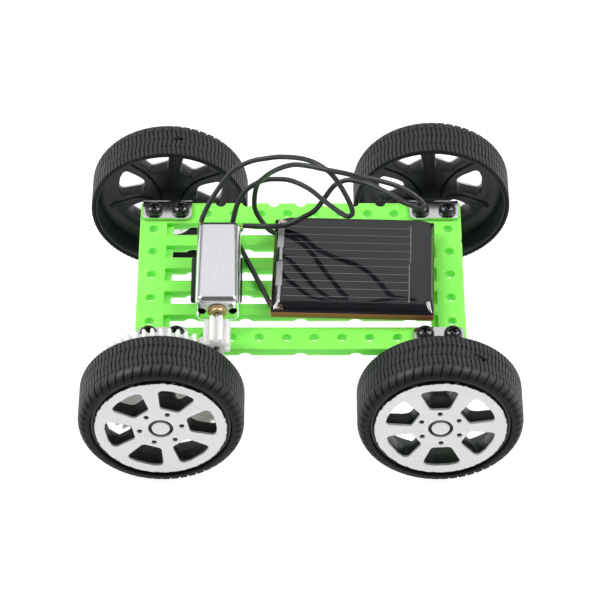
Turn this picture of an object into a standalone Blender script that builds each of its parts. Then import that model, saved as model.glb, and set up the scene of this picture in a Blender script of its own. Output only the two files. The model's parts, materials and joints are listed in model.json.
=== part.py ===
"""A small solar-powered four-wheel car kit.

A slotted chassis plate carries an electric motor and a solar panel on foam pads. Sheet brackets under
screws hold two axles with a wheel on each end, and the motor's pinion turns a gear on the left axle.

Metres. +X runs along the car, +Y across it, +Z up, and the origin is on the ground under its middle.
"""

import math

import bmesh
import bpy
from mathutils import Matrix, Vector

MM = 0.001

# Driving dimensions
WHEEL_RADIUS = 14.9 * MM
WHEEL_WIDTH = 9 * MM
WHEELBASE = 50 * MM
OVERALL_WIDTH = 64.6 * MM
AXLE_RADIUS = 1 * MM
AXLE_GRIP = 2.8 * MM
HOLE_PITCH = 5 * MM
PLATE_LENGTH = 60 * MM
PLATE_WIDTH = 37.6 * MM
PLATE_THICKNESS = 1.8 * MM
PLATE_TOP = WHEEL_RADIUS + 6.55 * MM
GEAR_MODULE = 0.5 * MM
GEAR_TEETH = 52
PINION_TEETH = 8
PRESSURE_ANGLE = math.radians(20)
MOTOR_WIDTH = 8 * MM
MOTOR_HEIGHT = 6 * MM
PAD_THICKNESS = 1.4 * MM
GAP = 0.1 * MM
RUNNING_GAP = 0.05 * MM

# Places that follow from them
AXLE_X = {"left": -WHEELBASE / 2, "right": WHEELBASE / 2}
SIDE_Y = {"near": -1, "far": 1}
WHEEL_PLANE_Y = (OVERALL_WIDTH - WHEEL_WIDTH) / 2
PLATE_BOTTOM = PLATE_TOP - PLATE_THICKNESS
CENTRE_DISTANCE = GEAR_MODULE * (GEAR_TEETH + PINION_TEETH) / 2
MOTOR_X = AXLE_X["left"] + 10 * MM
MOTOR_Z = WHEEL_RADIUS + math.sqrt(CENTRE_DISTANCE**2 - (MOTOR_X - AXLE_X["left"]) ** 2)
MOTOR_FRONT_Y = -13.9 * MM
MOTOR_LENGTH = 19.3 * MM
MOTOR_BACK_Y = MOTOR_FRONT_Y + MOTOR_LENGTH

# Chassis plate
SLOT_PITCH = 5.95 * MM
SLOT_WIDTH = 3.2 * MM
SLOT_LENGTH = 50 * MM
SLOT_LEDGE = 1.2 * MM
SLOT_ROWS = [-2, -1, 0, 1, 2]
HOLE_RADIUS = 0.95 * MM
HOLE_ROW_Y = 16 * MM
HOLE_SIDES = 8
GROOVE_RADIUS = 1.5 * MM
GROOVE_DEPTH = 0.6 * MM

# Brackets and screws
BRACKET_WIDTH = 9.2 * MM
BRACKET_THICKNESS = 0.6 * MM
BRACKET_REACH = 4.8 * MM
BRACKET_DROP = 9.2 * MM
SCREW_HEAD_RADIUS = 1.65 * MM
SCREW_HEAD_HEIGHT = 1.4 * MM
SCREW_SHANK_RADIUS = 0.8 * MM
SCREW_LENGTH = 5.5 * MM

# Wheels
TYRE_BORE = 12.7 * MM
SHOULDER_RADIUS = 1.8 * MM
TREAD_BORE = 14.3 * MM
BEAD_STEP = 1.7 * MM
RIM_RADIUS = TYRE_BORE - GAP
BARREL_RADIUS = TREAD_BORE - GAP
HUB_RADIUS = 2.2 * MM
WEB_THICKNESS = 2.2 * MM
BARREL_WALL = 0.5 * MM
CAP_RADIUS = 11.9 * MM
CAP_THICKNESS = 0.5 * MM
CAP_HOLE_RADIUS = 0.48 * MM
CAP_HOLE_PLACE = 3.85 * MM
WINDOWS = 6
WINDOW_INNER = 5 * MM
WINDOW_OUTER = 9.8 * MM
WINDOW_INNER_HALF = 1.7 * MM
WINDOW_OUTER_HALF = 3.4 * MM
# How far each wheel is turned about its own outward axis at rest, in degrees
WHEEL_TURN = {
    ("left", "near"): -19.5,
    ("right", "near"): 3,
    ("left", "far"): 39,
    ("right", "far"): 25,
}
# How much further out than the others each wheel is pressed on its axle
WHEEL_SLIDE = {
    ("left", "near"): 0,
    ("right", "near"): 0,
    ("left", "far"): 0,
    ("right", "far"): 0.9 * MM,
}

# Gears
PROFILE_SHIFT = 0.5
PINION_TIP = 2.5 * MM
PINION_BACK_Y = -17.1 * MM
PINION_FRONT_Y = -23 * MM
GEAR_TIP = GEAR_MODULE * (GEAR_TEETH / 2 + 1 - PROFILE_SHIFT)
GEAR_BACK_Y = -20 * MM
GEAR_FRONT_Y = -22.6 * MM
BACKLASH = 0.1 * MM

# Motor
CAN_CORNER = 1.4 * MM
CAN_WALL = 0.4 * MM
CAP_DEPTH = 1.5 * MM
CAP_PLUG = 0.8 * MM
BOSS_RADIUS = 1.75 * MM
BOSS_HEIGHT = 0.9 * MM
BUSH_NECK_RADIUS = 1 * MM
FACE_HOLE_X = 2.8 * MM
FACE_HOLE_RADIUS = 0.75 * MM
TERMINAL_X = 3 * MM
SHAFT_RADIUS = 0.5 * MM
ARMATURE_RADIUS = 2.2 * MM
ARMATURE_LENGTH = 8 * MM
ARMATURE_Y = MOTOR_FRONT_Y + 7 * MM
COMMUTATOR_RADIUS = 1.1 * MM
COMMUTATOR_Y = MOTOR_BACK_Y - 3.5 * MM

# Foam pads
MOTOR_PAD_SIZE = (9.4 * MM, 10.8 * MM)
PANEL_PAD_SIZE = (22 * MM, 16 * MM)

# Solar panel
PANEL_LENGTH = 29.6 * MM
PANEL_WIDTH = 24 * MM
PANEL_X = 9.7 * MM
PANEL_Y = -1 * MM
PANEL_TURN = math.radians(-1.9)
BOARD_THICKNESS = 1.3 * MM
BOARD_BOTTOM = PLATE_TOP + PAD_THICKNESS + 2 * GAP
BOARD_TOP = BOARD_BOTTOM + BOARD_THICKNESS
COVER_HEIGHT = 1 * MM
CELL_LENGTH = 24 * MM
CELL_WIDTH = 22 * MM
CELL_THICKNESS = 0.2 * MM
TAB_WIDTH = 1.2 * MM
TAB_THICKNESS = 0.15 * MM

# Wires
WIRE_DIAMETER = 0.95 * MM
WIRE_STEP = 2.5 * WIRE_DIAMETER

# Route points of the wire from the panel's back left corner to the motor's right terminal, in mm
BACK_WIRE_ROUTE = [
    (-3.2, 9.4, 22.3),
    (-5.5, 10.2, 22.5),
    (-7.0, 11.7, 23.2),
    (-8.4, 13.1, 25.0),
    (-8.6, 13.4, 27.5),
    (-8.1, 13.6, 31.0),
    (-6.8, 12.5, 34.0),
    (-4.5, 9.4, 39.0),
    (-1.5, 8.0, 41.6),
    (1.5, 6.2, 43.0),
    (4.6, 4.6, 43.6),
    (7.8, 3.5, 43.8),
    (10.8, 2.9, 43.4),
    (13.6, 3.0, 42.6),
    (17.0, 3.1, 41.2),
    (19.7, 2.7, 39.8),
    (21.5, 1.8, 38.8),
    (22.3, 0.9, 38.2),
    (21.8, 0.4, 37.9),
    (20.8, 0.9, 37.9),
    (18.6, 2.2, 37.8),
    (16.1, 5.1, 37.1),
    (12.7, 8.3, 36.3),
    (9.6, 9.8, 36.0),
    (7.9, 10.2, 35.5),
    (6.1, 9.9, 34.5),
    (4.4, 8.9, 32.4),
    (2.7, 7.9, 30.3),
    (0.4, 8.3, 28.0),
    (-2.7, 8.0, 26.3),
    (-5.9, 7.9, 26.0),
    (-8.6, 8.4, 25.6),
    (-10.6, 8.6, 25.5),
]

# Route points of the wire from the motor's left terminal to the panel's front left corner, in mm
FRONT_WIRE_ROUTE = [
    (-18.4, 7.9, 27.1),
    (-17.8, 9.2, 28.2),
    (-16.2, 11.3, 30.3),
    (-13.2, 14.1, 33.5),
    (-11.2, 14.6, 35.0),
    (-9.0, 14.6, 36.3),
    (-6.6, 14.1, 37.4),
    (-3.8, 13.6, 38.3),
    (-0.1, 10.8, 40.6),
    (2.6, 8.1, 42.0),
    (5.3, 5.4, 42.1),
    (7.2, 3.0, 41.0),
    (8.6, 1.3, 39.2),
    (9.3, 0.5, 37.6),
    (9.2, 0.3, 36.4),
    (7.9, 1.1, 35.6),
    (4.6, 5.6, 34.5),
    (1.6, 10.2, 33.4),
    (-1.6, 13.1, 32.7),
    (-4.2, 14.1, 32.2),
    (-7.1, 14.9, 31.0),
    (-10.1, 14.2, 29.3),
    (-11.7, 12.4, 27.5),
    (-12.4, 10.5, 25.9),
    (-12.7, 9.4, 24.2),
    (-12.3, 8.3, 22.9),
    (-11.3, 6.4, 22.3),
    (-9.1, 0.8, 22.3),
    (-7.1, -4.4, 22.3),
    (-5.5, -8.5, 22.3),
    (-4.3, -10.4, 22.3),
]


# Scene and modelling helpers


def clear_scene():
    for old in list(bpy.data.objects):
        bpy.data.objects.remove(old, do_unlink=True)


def new_collection(name):
    collection = bpy.data.collections.new(name)
    bpy.context.scene.collection.children.link(collection)
    return collection


def surface(name, color, roughness, metallic=0.0):
    material = bpy.data.materials.new(name)
    material.use_nodes = True
    shader = material.node_tree.nodes["Principled BSDF"]
    shader.inputs["Base Color"].default_value = (*color, 1)
    shader.inputs["Roughness"].default_value = roughness
    shader.inputs["Metallic"].default_value = metallic
    return material


def mesh_object(name, shape):
    """A working object that holds the bmesh `shape`, which is freed."""
    mesh = bpy.data.meshes.new(name)
    bmesh.ops.recalc_face_normals(shape, faces=shape.faces)
    shape.to_mesh(mesh)
    shape.free()
    work = bpy.data.objects.new(name, mesh)
    WORK.objects.link(work)
    return work


def baked(work):
    """The working object's mesh with its modifiers applied. The object itself is removed."""
    bpy.context.view_layer.update()
    seen = work.evaluated_get(bpy.context.evaluated_depsgraph_get())
    mesh = bpy.data.meshes.new_from_object(seen)
    shape = bmesh.new()
    shape.from_mesh(mesh)
    bmesh.ops.remove_doubles(shape, verts=shape.verts, dist=0.001 * MM)
    shape.to_mesh(mesh)
    shape.free()
    mesh.transform(work.matrix_world)
    bpy.data.objects.remove(work, do_unlink=True)
    return mesh


def cut(work, cutter):
    """The baked mesh of `work` less `cutter`, a working object that is removed."""
    cutter.hide_render = True
    cutter.display_type = "WIRE"
    modifier = work.modifiers.new("cut", "BOOLEAN")
    modifier.operation = "DIFFERENCE"
    modifier.object = cutter
    mesh = baked(work)
    bpy.data.objects.remove(cutter, do_unlink=True)
    return mesh


def cut_mesh(mesh, cutter):
    work = bpy.data.objects.new("blank", mesh)
    WORK.objects.link(work)
    return cut(work, cutter)


def place(name, mesh, material, location=(0, 0, 0), turn=None, parent=None):
    """Add one sub-part. `location` is its world position, also under a parent."""
    mesh.materials.clear()
    mesh.materials.append(material)
    mesh.shade_smooth()
    mesh.set_sharp_from_angle(angle=math.radians(35))
    part = bpy.data.objects.new(name, mesh)
    CAR.objects.link(part)
    if parent:
        part.parent = parent
        location = Vector(location) - parent.location
    part.matrix_basis = Matrix.Translation(location) @ (turn or Matrix.Identity(4))
    return part


def pivot(name, location):
    empty = bpy.data.objects.new(name, None)
    empty.location = location
    CAR.objects.link(empty)
    return empty


def arc(centre_x, centre_y, radius, start, end, steps):
    """Points on an arc, in degrees from `start` to `end`."""
    points = []
    for step in range(steps + 1):
        angle = math.radians(start + (end - start) * step / steps)
        points.append((centre_x + radius * math.cos(angle), centre_y + radius * math.sin(angle)))
    return points


def rounded_rectangle(width, height, radius, steps=2):
    """Outline of a rectangle about the origin, counter-clockwise, with rounded corners."""
    x = width / 2 - radius
    y = height / 2 - radius
    outline = arc(x, y, radius, 0, 90, steps)
    outline += arc(-x, y, radius, 90, 180, steps)
    outline += arc(-x, -y, radius, 180, 270, steps)
    outline += arc(x, -y, radius, 270, 360, steps)
    return outline


def sheet(outline, thickness):
    """A working object: the outline in XY, thickened evenly about Z = 0."""
    curve = bpy.data.curves.new("outline", "CURVE")
    curve.dimensions = "2D"
    curve.fill_mode = "BOTH"
    curve.extrude = thickness / 2
    spline = curve.splines.new("POLY")
    spline.points.add(len(outline) - 1)
    for point, (x, y) in zip(spline.points, outline):
        point.co = (x, y, 0, 1)
    spline.use_cyclic_u = True
    guide = bpy.data.objects.new("outline", curve)
    WORK.objects.link(guide)
    work = bpy.data.objects.new("sheet", baked(guide))
    WORK.objects.link(work)
    return work


def box(size, centre=(0, 0, 0)):
    """A working object: a box of `size` about `centre`."""
    shape = bmesh.new()
    bmesh.ops.create_cube(shape, size=1, matrix=Matrix.Translation(centre) @ Matrix.Diagonal((*size, 1)))
    return mesh_object("box", shape)


def boxes(size, centres):
    """A working object: equal boxes that don't touch."""
    shape = bmesh.new()
    for centre in centres:
        bmesh.ops.create_cube(
            shape, size=1, matrix=Matrix.Translation(centre) @ Matrix.Diagonal((*size, 1))
        )
    return mesh_object("boxes", shape)


def rods(radius, length, centres, sides, turn=None):
    """A working object: equal cylinders along Z, or turned, that don't touch."""
    shape = bmesh.new()
    for centre in centres:
        bmesh.ops.create_cone(
            shape,
            cap_ends=True,
            segments=sides,
            radius1=radius,
            radius2=radius,
            depth=length,
            matrix=Matrix.Translation(centre) @ (turn or Matrix.Identity(4)),
        )
    return mesh_object("rods", shape)


def turned(profile, steps, closed=False):
    """A working object: the profile of (radius, z) points turned about Z. It runs down its outer side."""
    mesh = bpy.data.meshes.new("profile")
    edges = [(i, i + 1) for i in range(len(profile) - 1)]
    if closed:
        edges.append((len(profile) - 1, 0))
    mesh.from_pydata([(radius, 0, z) for radius, z in profile], edges, [])
    work = bpy.data.objects.new("turned", mesh)
    WORK.objects.link(work)
    screw = work.modifiers.new("screw", "SCREW")
    screw.axis = "Z"
    screw.steps = steps
    screw.render_steps = steps
    screw.use_merge_vertices = True
    screw.merge_threshold = 0.001 * MM
    return work


ALONG_Y = Matrix.Rotation(math.radians(90), 4, "X")


# Chassis plate


def plate_hole_places():
    """Centres in XY of the small round holes: a row along each long edge, and a column at each end."""
    places = []
    for side in (-1, 1):
        for step in range(-6, 6):
            places.append(((step + 0.5) * HOLE_PITCH, side * HOLE_ROW_Y))
        for row in SLOT_ROWS:
            places.append((side * 5.5 * HOLE_PITCH, row * SLOT_PITCH))
    return places


def plate_edge_notches():
    """Centres in XY of the half-round notches in the far and right edges."""
    places = [(step * HOLE_PITCH, PLATE_WIDTH / 2) for step in range(-3, 4)]
    for row in (-1.5, -0.5, 0.5, 1.5):
        places.append((PLATE_LENGTH / 2 + 0.5 * HOLE_RADIUS, row * SLOT_PITCH))
    return places


def make_chassis_plate():
    middle = PLATE_TOP - PLATE_THICKNESS / 2
    tall = 2 * PLATE_THICKNESS
    slot_end = SLOT_LENGTH - 2 * SLOT_LEDGE
    slot_centres = [(0, row * SLOT_PITCH, middle) for row in SLOT_ROWS]
    ledge_centres = [(0, row * SLOT_PITCH, PLATE_TOP + 0.5 * MM) for row in SLOT_ROWS]
    ledge_depth = PLATE_THICKNESS + 1 * MM
    grooves = [
        (step * 2 * HOLE_PITCH, 0, PLATE_BOTTOM + GROOVE_DEPTH - GROOVE_RADIUS) for step in range(-2, 3)
    ]
    plate = box((PLATE_LENGTH, PLATE_WIDTH, PLATE_THICKNESS), (0, 0, middle))
    mesh = cut(plate, boxes((slot_end, SLOT_WIDTH, tall), slot_centres))
    mesh = cut_mesh(mesh, boxes((SLOT_LENGTH, SLOT_WIDTH, ledge_depth), ledge_centres))
    mesh = cut_mesh(mesh, rods(GROOVE_RADIUS, 2 * PLATE_WIDTH, grooves, 16, ALONG_Y))
    holes = [(x, y, middle) for x, y in plate_hole_places()]
    mesh = cut_mesh(mesh, rods(HOLE_RADIUS, tall, holes, HOLE_SIDES))
    notches = [(x, y, middle) for x, y in plate_edge_notches()]
    mesh = cut_mesh(mesh, rods(HOLE_RADIUS, tall, notches, HOLE_SIDES))
    place("chassis_plate", mesh, GREEN_PLASTIC)


# Brackets, screws and axles


def bracket_profile():
    """Side view of a bracket in (y, z): a tab on the plate and a leg down outside its far edge."""
    bend = 1.7 * BRACKET_THICKNESS
    edge = PLATE_WIDTH / 2 + GAP
    outer = edge + BRACKET_THICKNESS
    top = PLATE_TOP + GAP + BRACKET_THICKNESS
    inner_tab = edge - BRACKET_REACH
    profile = [(inner_tab, top - BRACKET_THICKNESS), (inner_tab, top)]
    profile += reversed(arc(outer - bend, top - bend, bend, 0, 90, 3))
    profile += [(outer, top - BRACKET_DROP), (edge, top - BRACKET_DROP)]
    profile.append((edge, top - BRACKET_THICKNESS))
    return profile


def screw_places(end):
    """X of the two screws at one end of the plate."""
    return [AXLE_X[end] - HOLE_PITCH / 2, AXLE_X[end] + HOLE_PITCH / 2]


def make_bracket_mesh():
    """A far-side bracket about X = 0."""
    profile = bracket_profile()
    upright = Matrix.Rotation(math.radians(90), 4, "Y") @ Matrix.Rotation(math.radians(90), 4, "Z")
    work = sheet(profile, BRACKET_WIDTH)
    work.data.transform(upright)
    edge_y = PLATE_WIDTH / 2
    axle_hole = [(0, edge_y, WHEEL_RADIUS)]
    mesh = cut(work, rods(AXLE_RADIUS + GAP, 4 * MM, axle_hole, 16, ALONG_Y))
    screw_holes = [(-HOLE_PITCH / 2, HOLE_ROW_Y, PLATE_TOP), (HOLE_PITCH / 2, HOLE_ROW_Y, PLATE_TOP)]
    return cut_mesh(mesh, rods(HOLE_RADIUS, 4 * MM, screw_holes, HOLE_SIDES))


def make_brackets():
    far_mesh = make_bracket_mesh()
    for end, x in AXLE_X.items():
        for side, sign in SIDE_Y.items():
            turn = Matrix.Rotation(0 if sign > 0 else math.pi, 4, "Z")
            place(f"axle_bracket_{side}_{end}", far_mesh.copy(), BRIGHT_STEEL, (x, 0, 0), turn)


def screw_profile():
    """Pan-head screw with its head's underside at Z = 0: a domed head, a shank and a point."""
    profile = [(0, SCREW_HEAD_HEIGHT)]
    profile += [(0.6 * SCREW_HEAD_RADIUS, 0.93 * SCREW_HEAD_HEIGHT)]
    profile += [(0.92 * SCREW_HEAD_RADIUS, 0.6 * SCREW_HEAD_HEIGHT)]
    profile += [(SCREW_HEAD_RADIUS, 0)]
    profile += [(SCREW_SHANK_RADIUS, 0)]
    profile += [(SCREW_SHANK_RADIUS, 1.2 * MM - SCREW_LENGTH)]
    profile += [(0, -SCREW_LENGTH)]
    return profile


def make_screws():
    head_z = PLATE_TOP + 2 * GAP + BRACKET_THICKNESS
    mesh = baked(turned(screw_profile(), 12))
    for end in AXLE_X:
        for side, sign in SIDE_Y.items():
            for number, x in enumerate(screw_places(end), 1):
                name = f"screw_{side}_{end}_{number}"
                place(name, mesh.copy(), BLACK_STEEL, (x, sign * HOLE_ROW_Y, head_z))


def make_axle(end, axle_pivot):
    length = 2 * (WHEEL_PLANE_Y + AXLE_GRIP)
    centre = (AXLE_X[end], 0, WHEEL_RADIUS)
    mesh = baked(rods(AXLE_RADIUS, length, [(0, 0, 0)], 16))
    place(f"axle_{end}", mesh, BRIGHT_STEEL, centre, ALONG_Y, axle_pivot)


# Wheels, built with their axis along Z and their outer face up


def make_tyre_mesh():
    """A thick bead with a rounded shoulder on the outer side, and a thin tread band behind it."""
    half = WHEEL_WIDTH / 2
    shoulder = SHOULDER_RADIUS
    profile = [(TYRE_BORE, half)]
    profile += reversed(arc(WHEEL_RADIUS - shoulder, half - shoulder, shoulder, 0, 90, 2))
    profile += [(WHEEL_RADIUS, 0.2 * MM - half), (WHEEL_RADIUS - 0.3 * MM, -half), (TREAD_BORE, -half)]
    profile += [(TREAD_BORE, BEAD_STEP), (TYRE_BORE, BEAD_STEP)]
    return baked(turned(profile, 36, closed=True))


def window_outline():
    return [
        (WINDOW_INNER, -WINDOW_INNER_HALF),
        (WINDOW_OUTER, -WINDOW_OUTER_HALF),
        (WINDOW_OUTER, WINDOW_OUTER_HALF),
        (WINDOW_INNER, WINDOW_INNER_HALF),
    ]


def window_cutter():
    """Six wedge-shaped windows, with the first one's middle on +Y."""
    work = sheet(window_outline(), 2 * WHEEL_WIDTH)
    first = work.data
    shape = bmesh.new()
    for number in range(WINDOWS):
        window = first.copy()
        window.transform(Matrix.Rotation(math.radians(90) + math.tau * number / WINDOWS, 4, "Z"))
        shape.from_mesh(window)
    bpy.data.objects.remove(work, do_unlink=True)
    return mesh_object("windows", shape)


def make_rim_mesh():
    """A web with a hub tube in the tyre's bead, and a wider barrel behind it under the tread."""
    half = WHEEL_WIDTH / 2 - 2 * GAP
    recess = WHEEL_WIDTH / 2 - CAP_THICKNESS - GAP
    web_back = recess - WEB_THICKNESS
    lip = CAP_RADIUS + 2 * GAP
    step = BEAD_STEP - GAP
    barrel = BARREL_RADIUS - BARREL_WALL
    bore = AXLE_RADIUS + GAP
    bore_end = recess - 0.6 * MM
    profile = [(0, recess), (lip, recess), (lip, half), (RIM_RADIUS, half), (RIM_RADIUS, step)]
    profile += [(BARREL_RADIUS, step), (BARREL_RADIUS, -half), (barrel, -half)]
    profile += [(barrel, step - 0.9 * MM), (lip, step - 0.5 * MM), (lip - 0.6 * MM, web_back)]
    profile += [(HUB_RADIUS, web_back), (HUB_RADIUS, -half)]
    profile += [(bore, -half), (bore, bore_end), (0, bore_end)]
    return cut(turned(profile, 24), window_cutter())


def make_cap_mesh():
    """The bright disc on the wheel's outer face, with its underside at Z = 0."""
    profile = [(0, CAP_THICKNESS), (CAP_RADIUS, CAP_THICKNESS), (CAP_RADIUS, 0), (0, 0)]
    mesh = cut(turned(profile, 24), window_cutter())
    holes = []
    for number in range(WINDOWS):
        angle = math.tau * number / WINDOWS + math.radians(90)
        holes.append((CAP_HOLE_PLACE * math.cos(angle), CAP_HOLE_PLACE * math.sin(angle), 0))
    return cut_mesh(mesh, rods(CAP_HOLE_RADIUS, 4 * MM, holes, 6))


def make_wheels(end, axle_pivot):
    """A wheel on each end of one axle: tyre, rim and cap, each turned to where it stands at rest."""
    cap_z = WHEEL_WIDTH / 2 - CAP_THICKNESS
    for side, sign in SIDE_Y.items():
        face_out = Matrix.Rotation(math.radians(-90) * sign, 4, "X")
        turn = face_out @ Matrix.Rotation(math.radians(WHEEL_TURN[end, side]), 4, "Z")
        out = WHEEL_PLANE_Y + WHEEL_SLIDE[end, side]
        centre = (AXLE_X[end], sign * out, WHEEL_RADIUS)
        cap_centre = (AXLE_X[end], sign * (out + cap_z), WHEEL_RADIUS)
        place(f"tyre_{side}_{end}", TYRE_MESH.copy(), TYRE_RUBBER, centre, face_out, axle_pivot)
        place(f"rim_{side}_{end}", RIM_MESH.copy(), BLACK_PLASTIC, centre, turn, axle_pivot)
        place(f"wheel_cap_{side}_{end}", CAP_MESH.copy(), SILVER_PLASTIC, cap_centre, turn, axle_pivot)


# Gears


def involute(angle):
    return math.tan(angle) - angle


def gear_outline(teeth, shift, tip_radius, flank_steps, first_tooth):
    """Outline of a spur gear with involute flanks. The middle of one tooth is at the angle first_tooth."""
    pitch_radius = GEAR_MODULE * teeth / 2
    base_radius = pitch_radius * math.cos(PRESSURE_ANGLE)
    root_radius = pitch_radius - GEAR_MODULE * (1.25 - shift)
    half_tooth = (math.pi / 2 + 2 * shift * math.tan(PRESSURE_ANGLE)) / teeth
    half_tooth -= BACKLASH / 2 / (2 * pitch_radius)
    flank = []
    for step in range(flank_steps + 1):
        radius = base_radius + (tip_radius - base_radius) * step / flank_steps
        roll = math.acos(base_radius / radius)
        flank.append((radius, half_tooth + involute(PRESSURE_ANGLE) - involute(roll)))
    flank.insert(0, (root_radius, flank[0][1]))
    outline = []
    for tooth in range(teeth):
        middle = first_tooth + math.tau * tooth / teeth
        for radius, angle in flank:
            outline.append((radius * math.cos(middle - angle), radius * math.sin(middle - angle)))
        for radius, angle in reversed(flank):
            outline.append((radius * math.cos(middle + angle), radius * math.sin(middle + angle)))
    return outline


def mesh_direction():
    """Angle in the XZ plane from the left axle to the motor shaft."""
    return math.atan2(MOTOR_Z - WHEEL_RADIUS, MOTOR_X - AXLE_X["left"])


def make_drive_gear(axle_pivot):
    """Spur gear on the left axle, with one tooth pointing at the pinion."""
    outline = gear_outline(GEAR_TEETH, -PROFILE_SHIFT, GEAR_TIP, 2, mesh_direction())
    width = GEAR_BACK_Y - GEAR_FRONT_Y
    bore = rods(AXLE_RADIUS + GAP, 4 * width, [(0, 0, 0)], 16)
    mesh = cut(sheet(outline, width), bore)
    centre = (AXLE_X["left"], (GEAR_BACK_Y + GEAR_FRONT_Y) / 2, WHEEL_RADIUS)
    place("drive_gear", mesh, WHITE_PLASTIC, centre, ALONG_Y, axle_pivot)


def make_pinion(shaft_pivot):
    """Pinion on the motor shaft, with a gap between two teeth pointing at the drive gear."""
    first_tooth = mesh_direction() + math.pi * (1 + 1 / PINION_TEETH)
    outline = gear_outline(PINION_TEETH, PROFILE_SHIFT, PINION_TIP, 4, first_tooth)
    width = PINION_BACK_Y - PINION_FRONT_Y
    bore = rods(SHAFT_RADIUS + GAP, 4 * width, [(0, 0, 0)], 12)
    mesh = cut(sheet(outline, width), bore)
    centre = (MOTOR_X, (PINION_BACK_Y + PINION_FRONT_Y) / 2, MOTOR_Z)
    place("motor_pinion", mesh, WHITE_PLASTIC, centre, ALONG_Y, shaft_pivot)


# Motor, built with its shaft along Z and its front face up, then laid along Y


def motor_place(y):
    return (MOTOR_X, y, MOTOR_Z)


def make_motor_can():
    outer = sheet(rounded_rectangle(MOTOR_WIDTH, MOTOR_HEIGHT, CAN_CORNER), MOTOR_LENGTH)
    inner_outline = rounded_rectangle(
        MOTOR_WIDTH - 2 * CAN_WALL, MOTOR_HEIGHT - 2 * CAN_WALL, CAN_CORNER - CAN_WALL
    )
    inner = sheet(inner_outline, MOTOR_LENGTH)
    inner.data.transform(Matrix.Translation((0, 0, -CAN_WALL)))
    mesh = cut(outer, inner)
    holes = [(-FACE_HOLE_X, 0, MOTOR_LENGTH / 2), (FACE_HOLE_X, 0, MOTOR_LENGTH / 2)]
    mesh = cut_mesh(mesh, rods(FACE_HOLE_RADIUS, 4 * CAN_WALL, holes, 10))
    bush_hole = rods(BUSH_NECK_RADIUS + GAP, 4 * CAN_WALL, [(0, 0, MOTOR_LENGTH / 2)], 12)
    mesh = cut_mesh(mesh, bush_hole)
    centre = motor_place((MOTOR_FRONT_Y + MOTOR_BACK_Y) / 2)
    place("motor_can", mesh, BRIGHT_STEEL, centre, ALONG_Y)


def make_motor_bush():
    """Front bearing: a boss outside the can's face and a neck through it."""
    bore = SHAFT_RADIUS + RUNNING_GAP
    neck_back = -1 * MM
    profile = [(bore, BOSS_HEIGHT), (0.75 * BOSS_RADIUS, BOSS_HEIGHT)]
    profile += [(BOSS_RADIUS, 0.55 * BOSS_HEIGHT), (BOSS_RADIUS, GAP)]
    profile += [(BUSH_NECK_RADIUS, GAP), (BUSH_NECK_RADIUS, neck_back), (bore, neck_back)]
    mesh = baked(turned(profile, 16, closed=True))
    place("motor_front_bush", mesh, BRASS, motor_place(MOTOR_FRONT_Y), ALONG_Y)


def make_motor_end_cap():
    """Plastic cap that closes the back of the can and carries the shaft's back end."""
    step = 0.2 * MM
    skirt_outline = rounded_rectangle(MOTOR_WIDTH - 2 * step, MOTOR_HEIGHT - 2 * step, CAN_CORNER - step)
    skirt = sheet(skirt_outline, CAP_DEPTH - CAP_PLUG)
    skirt.data.transform(Matrix.Translation((0, 0, -(CAP_DEPTH - CAP_PLUG) / 2 - GAP)))
    inset = CAN_WALL + GAP
    plug_outline = rounded_rectangle(MOTOR_WIDTH - 2 * inset, MOTOR_HEIGHT - 2 * inset, CAN_CORNER - inset)
    inner = sheet(plug_outline, CAP_PLUG + 2 * GAP)
    inner.data.transform(Matrix.Translation((0, 0, CAP_PLUG / 2 - GAP)))
    join = skirt.modifiers.new("join", "BOOLEAN")
    join.operation = "UNION"
    join.object = inner
    mesh = baked(skirt)
    bpy.data.objects.remove(inner, do_unlink=True)
    mesh = cut_mesh(mesh, rods(SHAFT_RADIUS + RUNNING_GAP, 10 * MM, [(0, 0, 0)], 12))
    place("motor_end_cap", mesh, BLACK_PLASTIC, motor_place(MOTOR_BACK_Y), ALONG_Y)


def make_motor_terminals():
    """A solder tag on each side of the end cap's back, just behind it."""
    size = (1.4 * MM, 1.2 * MM, 0.3 * MM)
    y = MOTOR_BACK_Y + CAP_DEPTH + size[1] / 2 - 0.5 * MM
    for side, sign in (("left", -1), ("right", 1)):
        centre = (MOTOR_X + sign * TERMINAL_X, y, MOTOR_Z + 0.1 * MOTOR_HEIGHT)
        place(f"motor_terminal_{side}", baked(box(size)), BRASS, centre)


def make_motor_magnets():
    """An arc-shaped magnet on each side of the armature."""
    inner_radius = ARMATURE_RADIUS + 0.3 * MM
    x_out = MOTOR_WIDTH / 2 - CAN_WALL - GAP
    y_out = MOTOR_HEIGHT / 2 - CAN_CORNER
    spread = math.degrees(math.asin(y_out / inner_radius))
    for side, sign in (("left", -1), ("right", 1)):
        outline = [(x_out, -y_out), (x_out, y_out)]
        outline += arc(0, 0, inner_radius, spread, -spread, 6)
        mesh = baked(sheet([(sign * x, y) for x, y in outline], ARMATURE_LENGTH))
        place(f"motor_magnet_{side}", mesh, DARK_MAGNET, motor_place(ARMATURE_Y), ALONG_Y)


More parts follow.
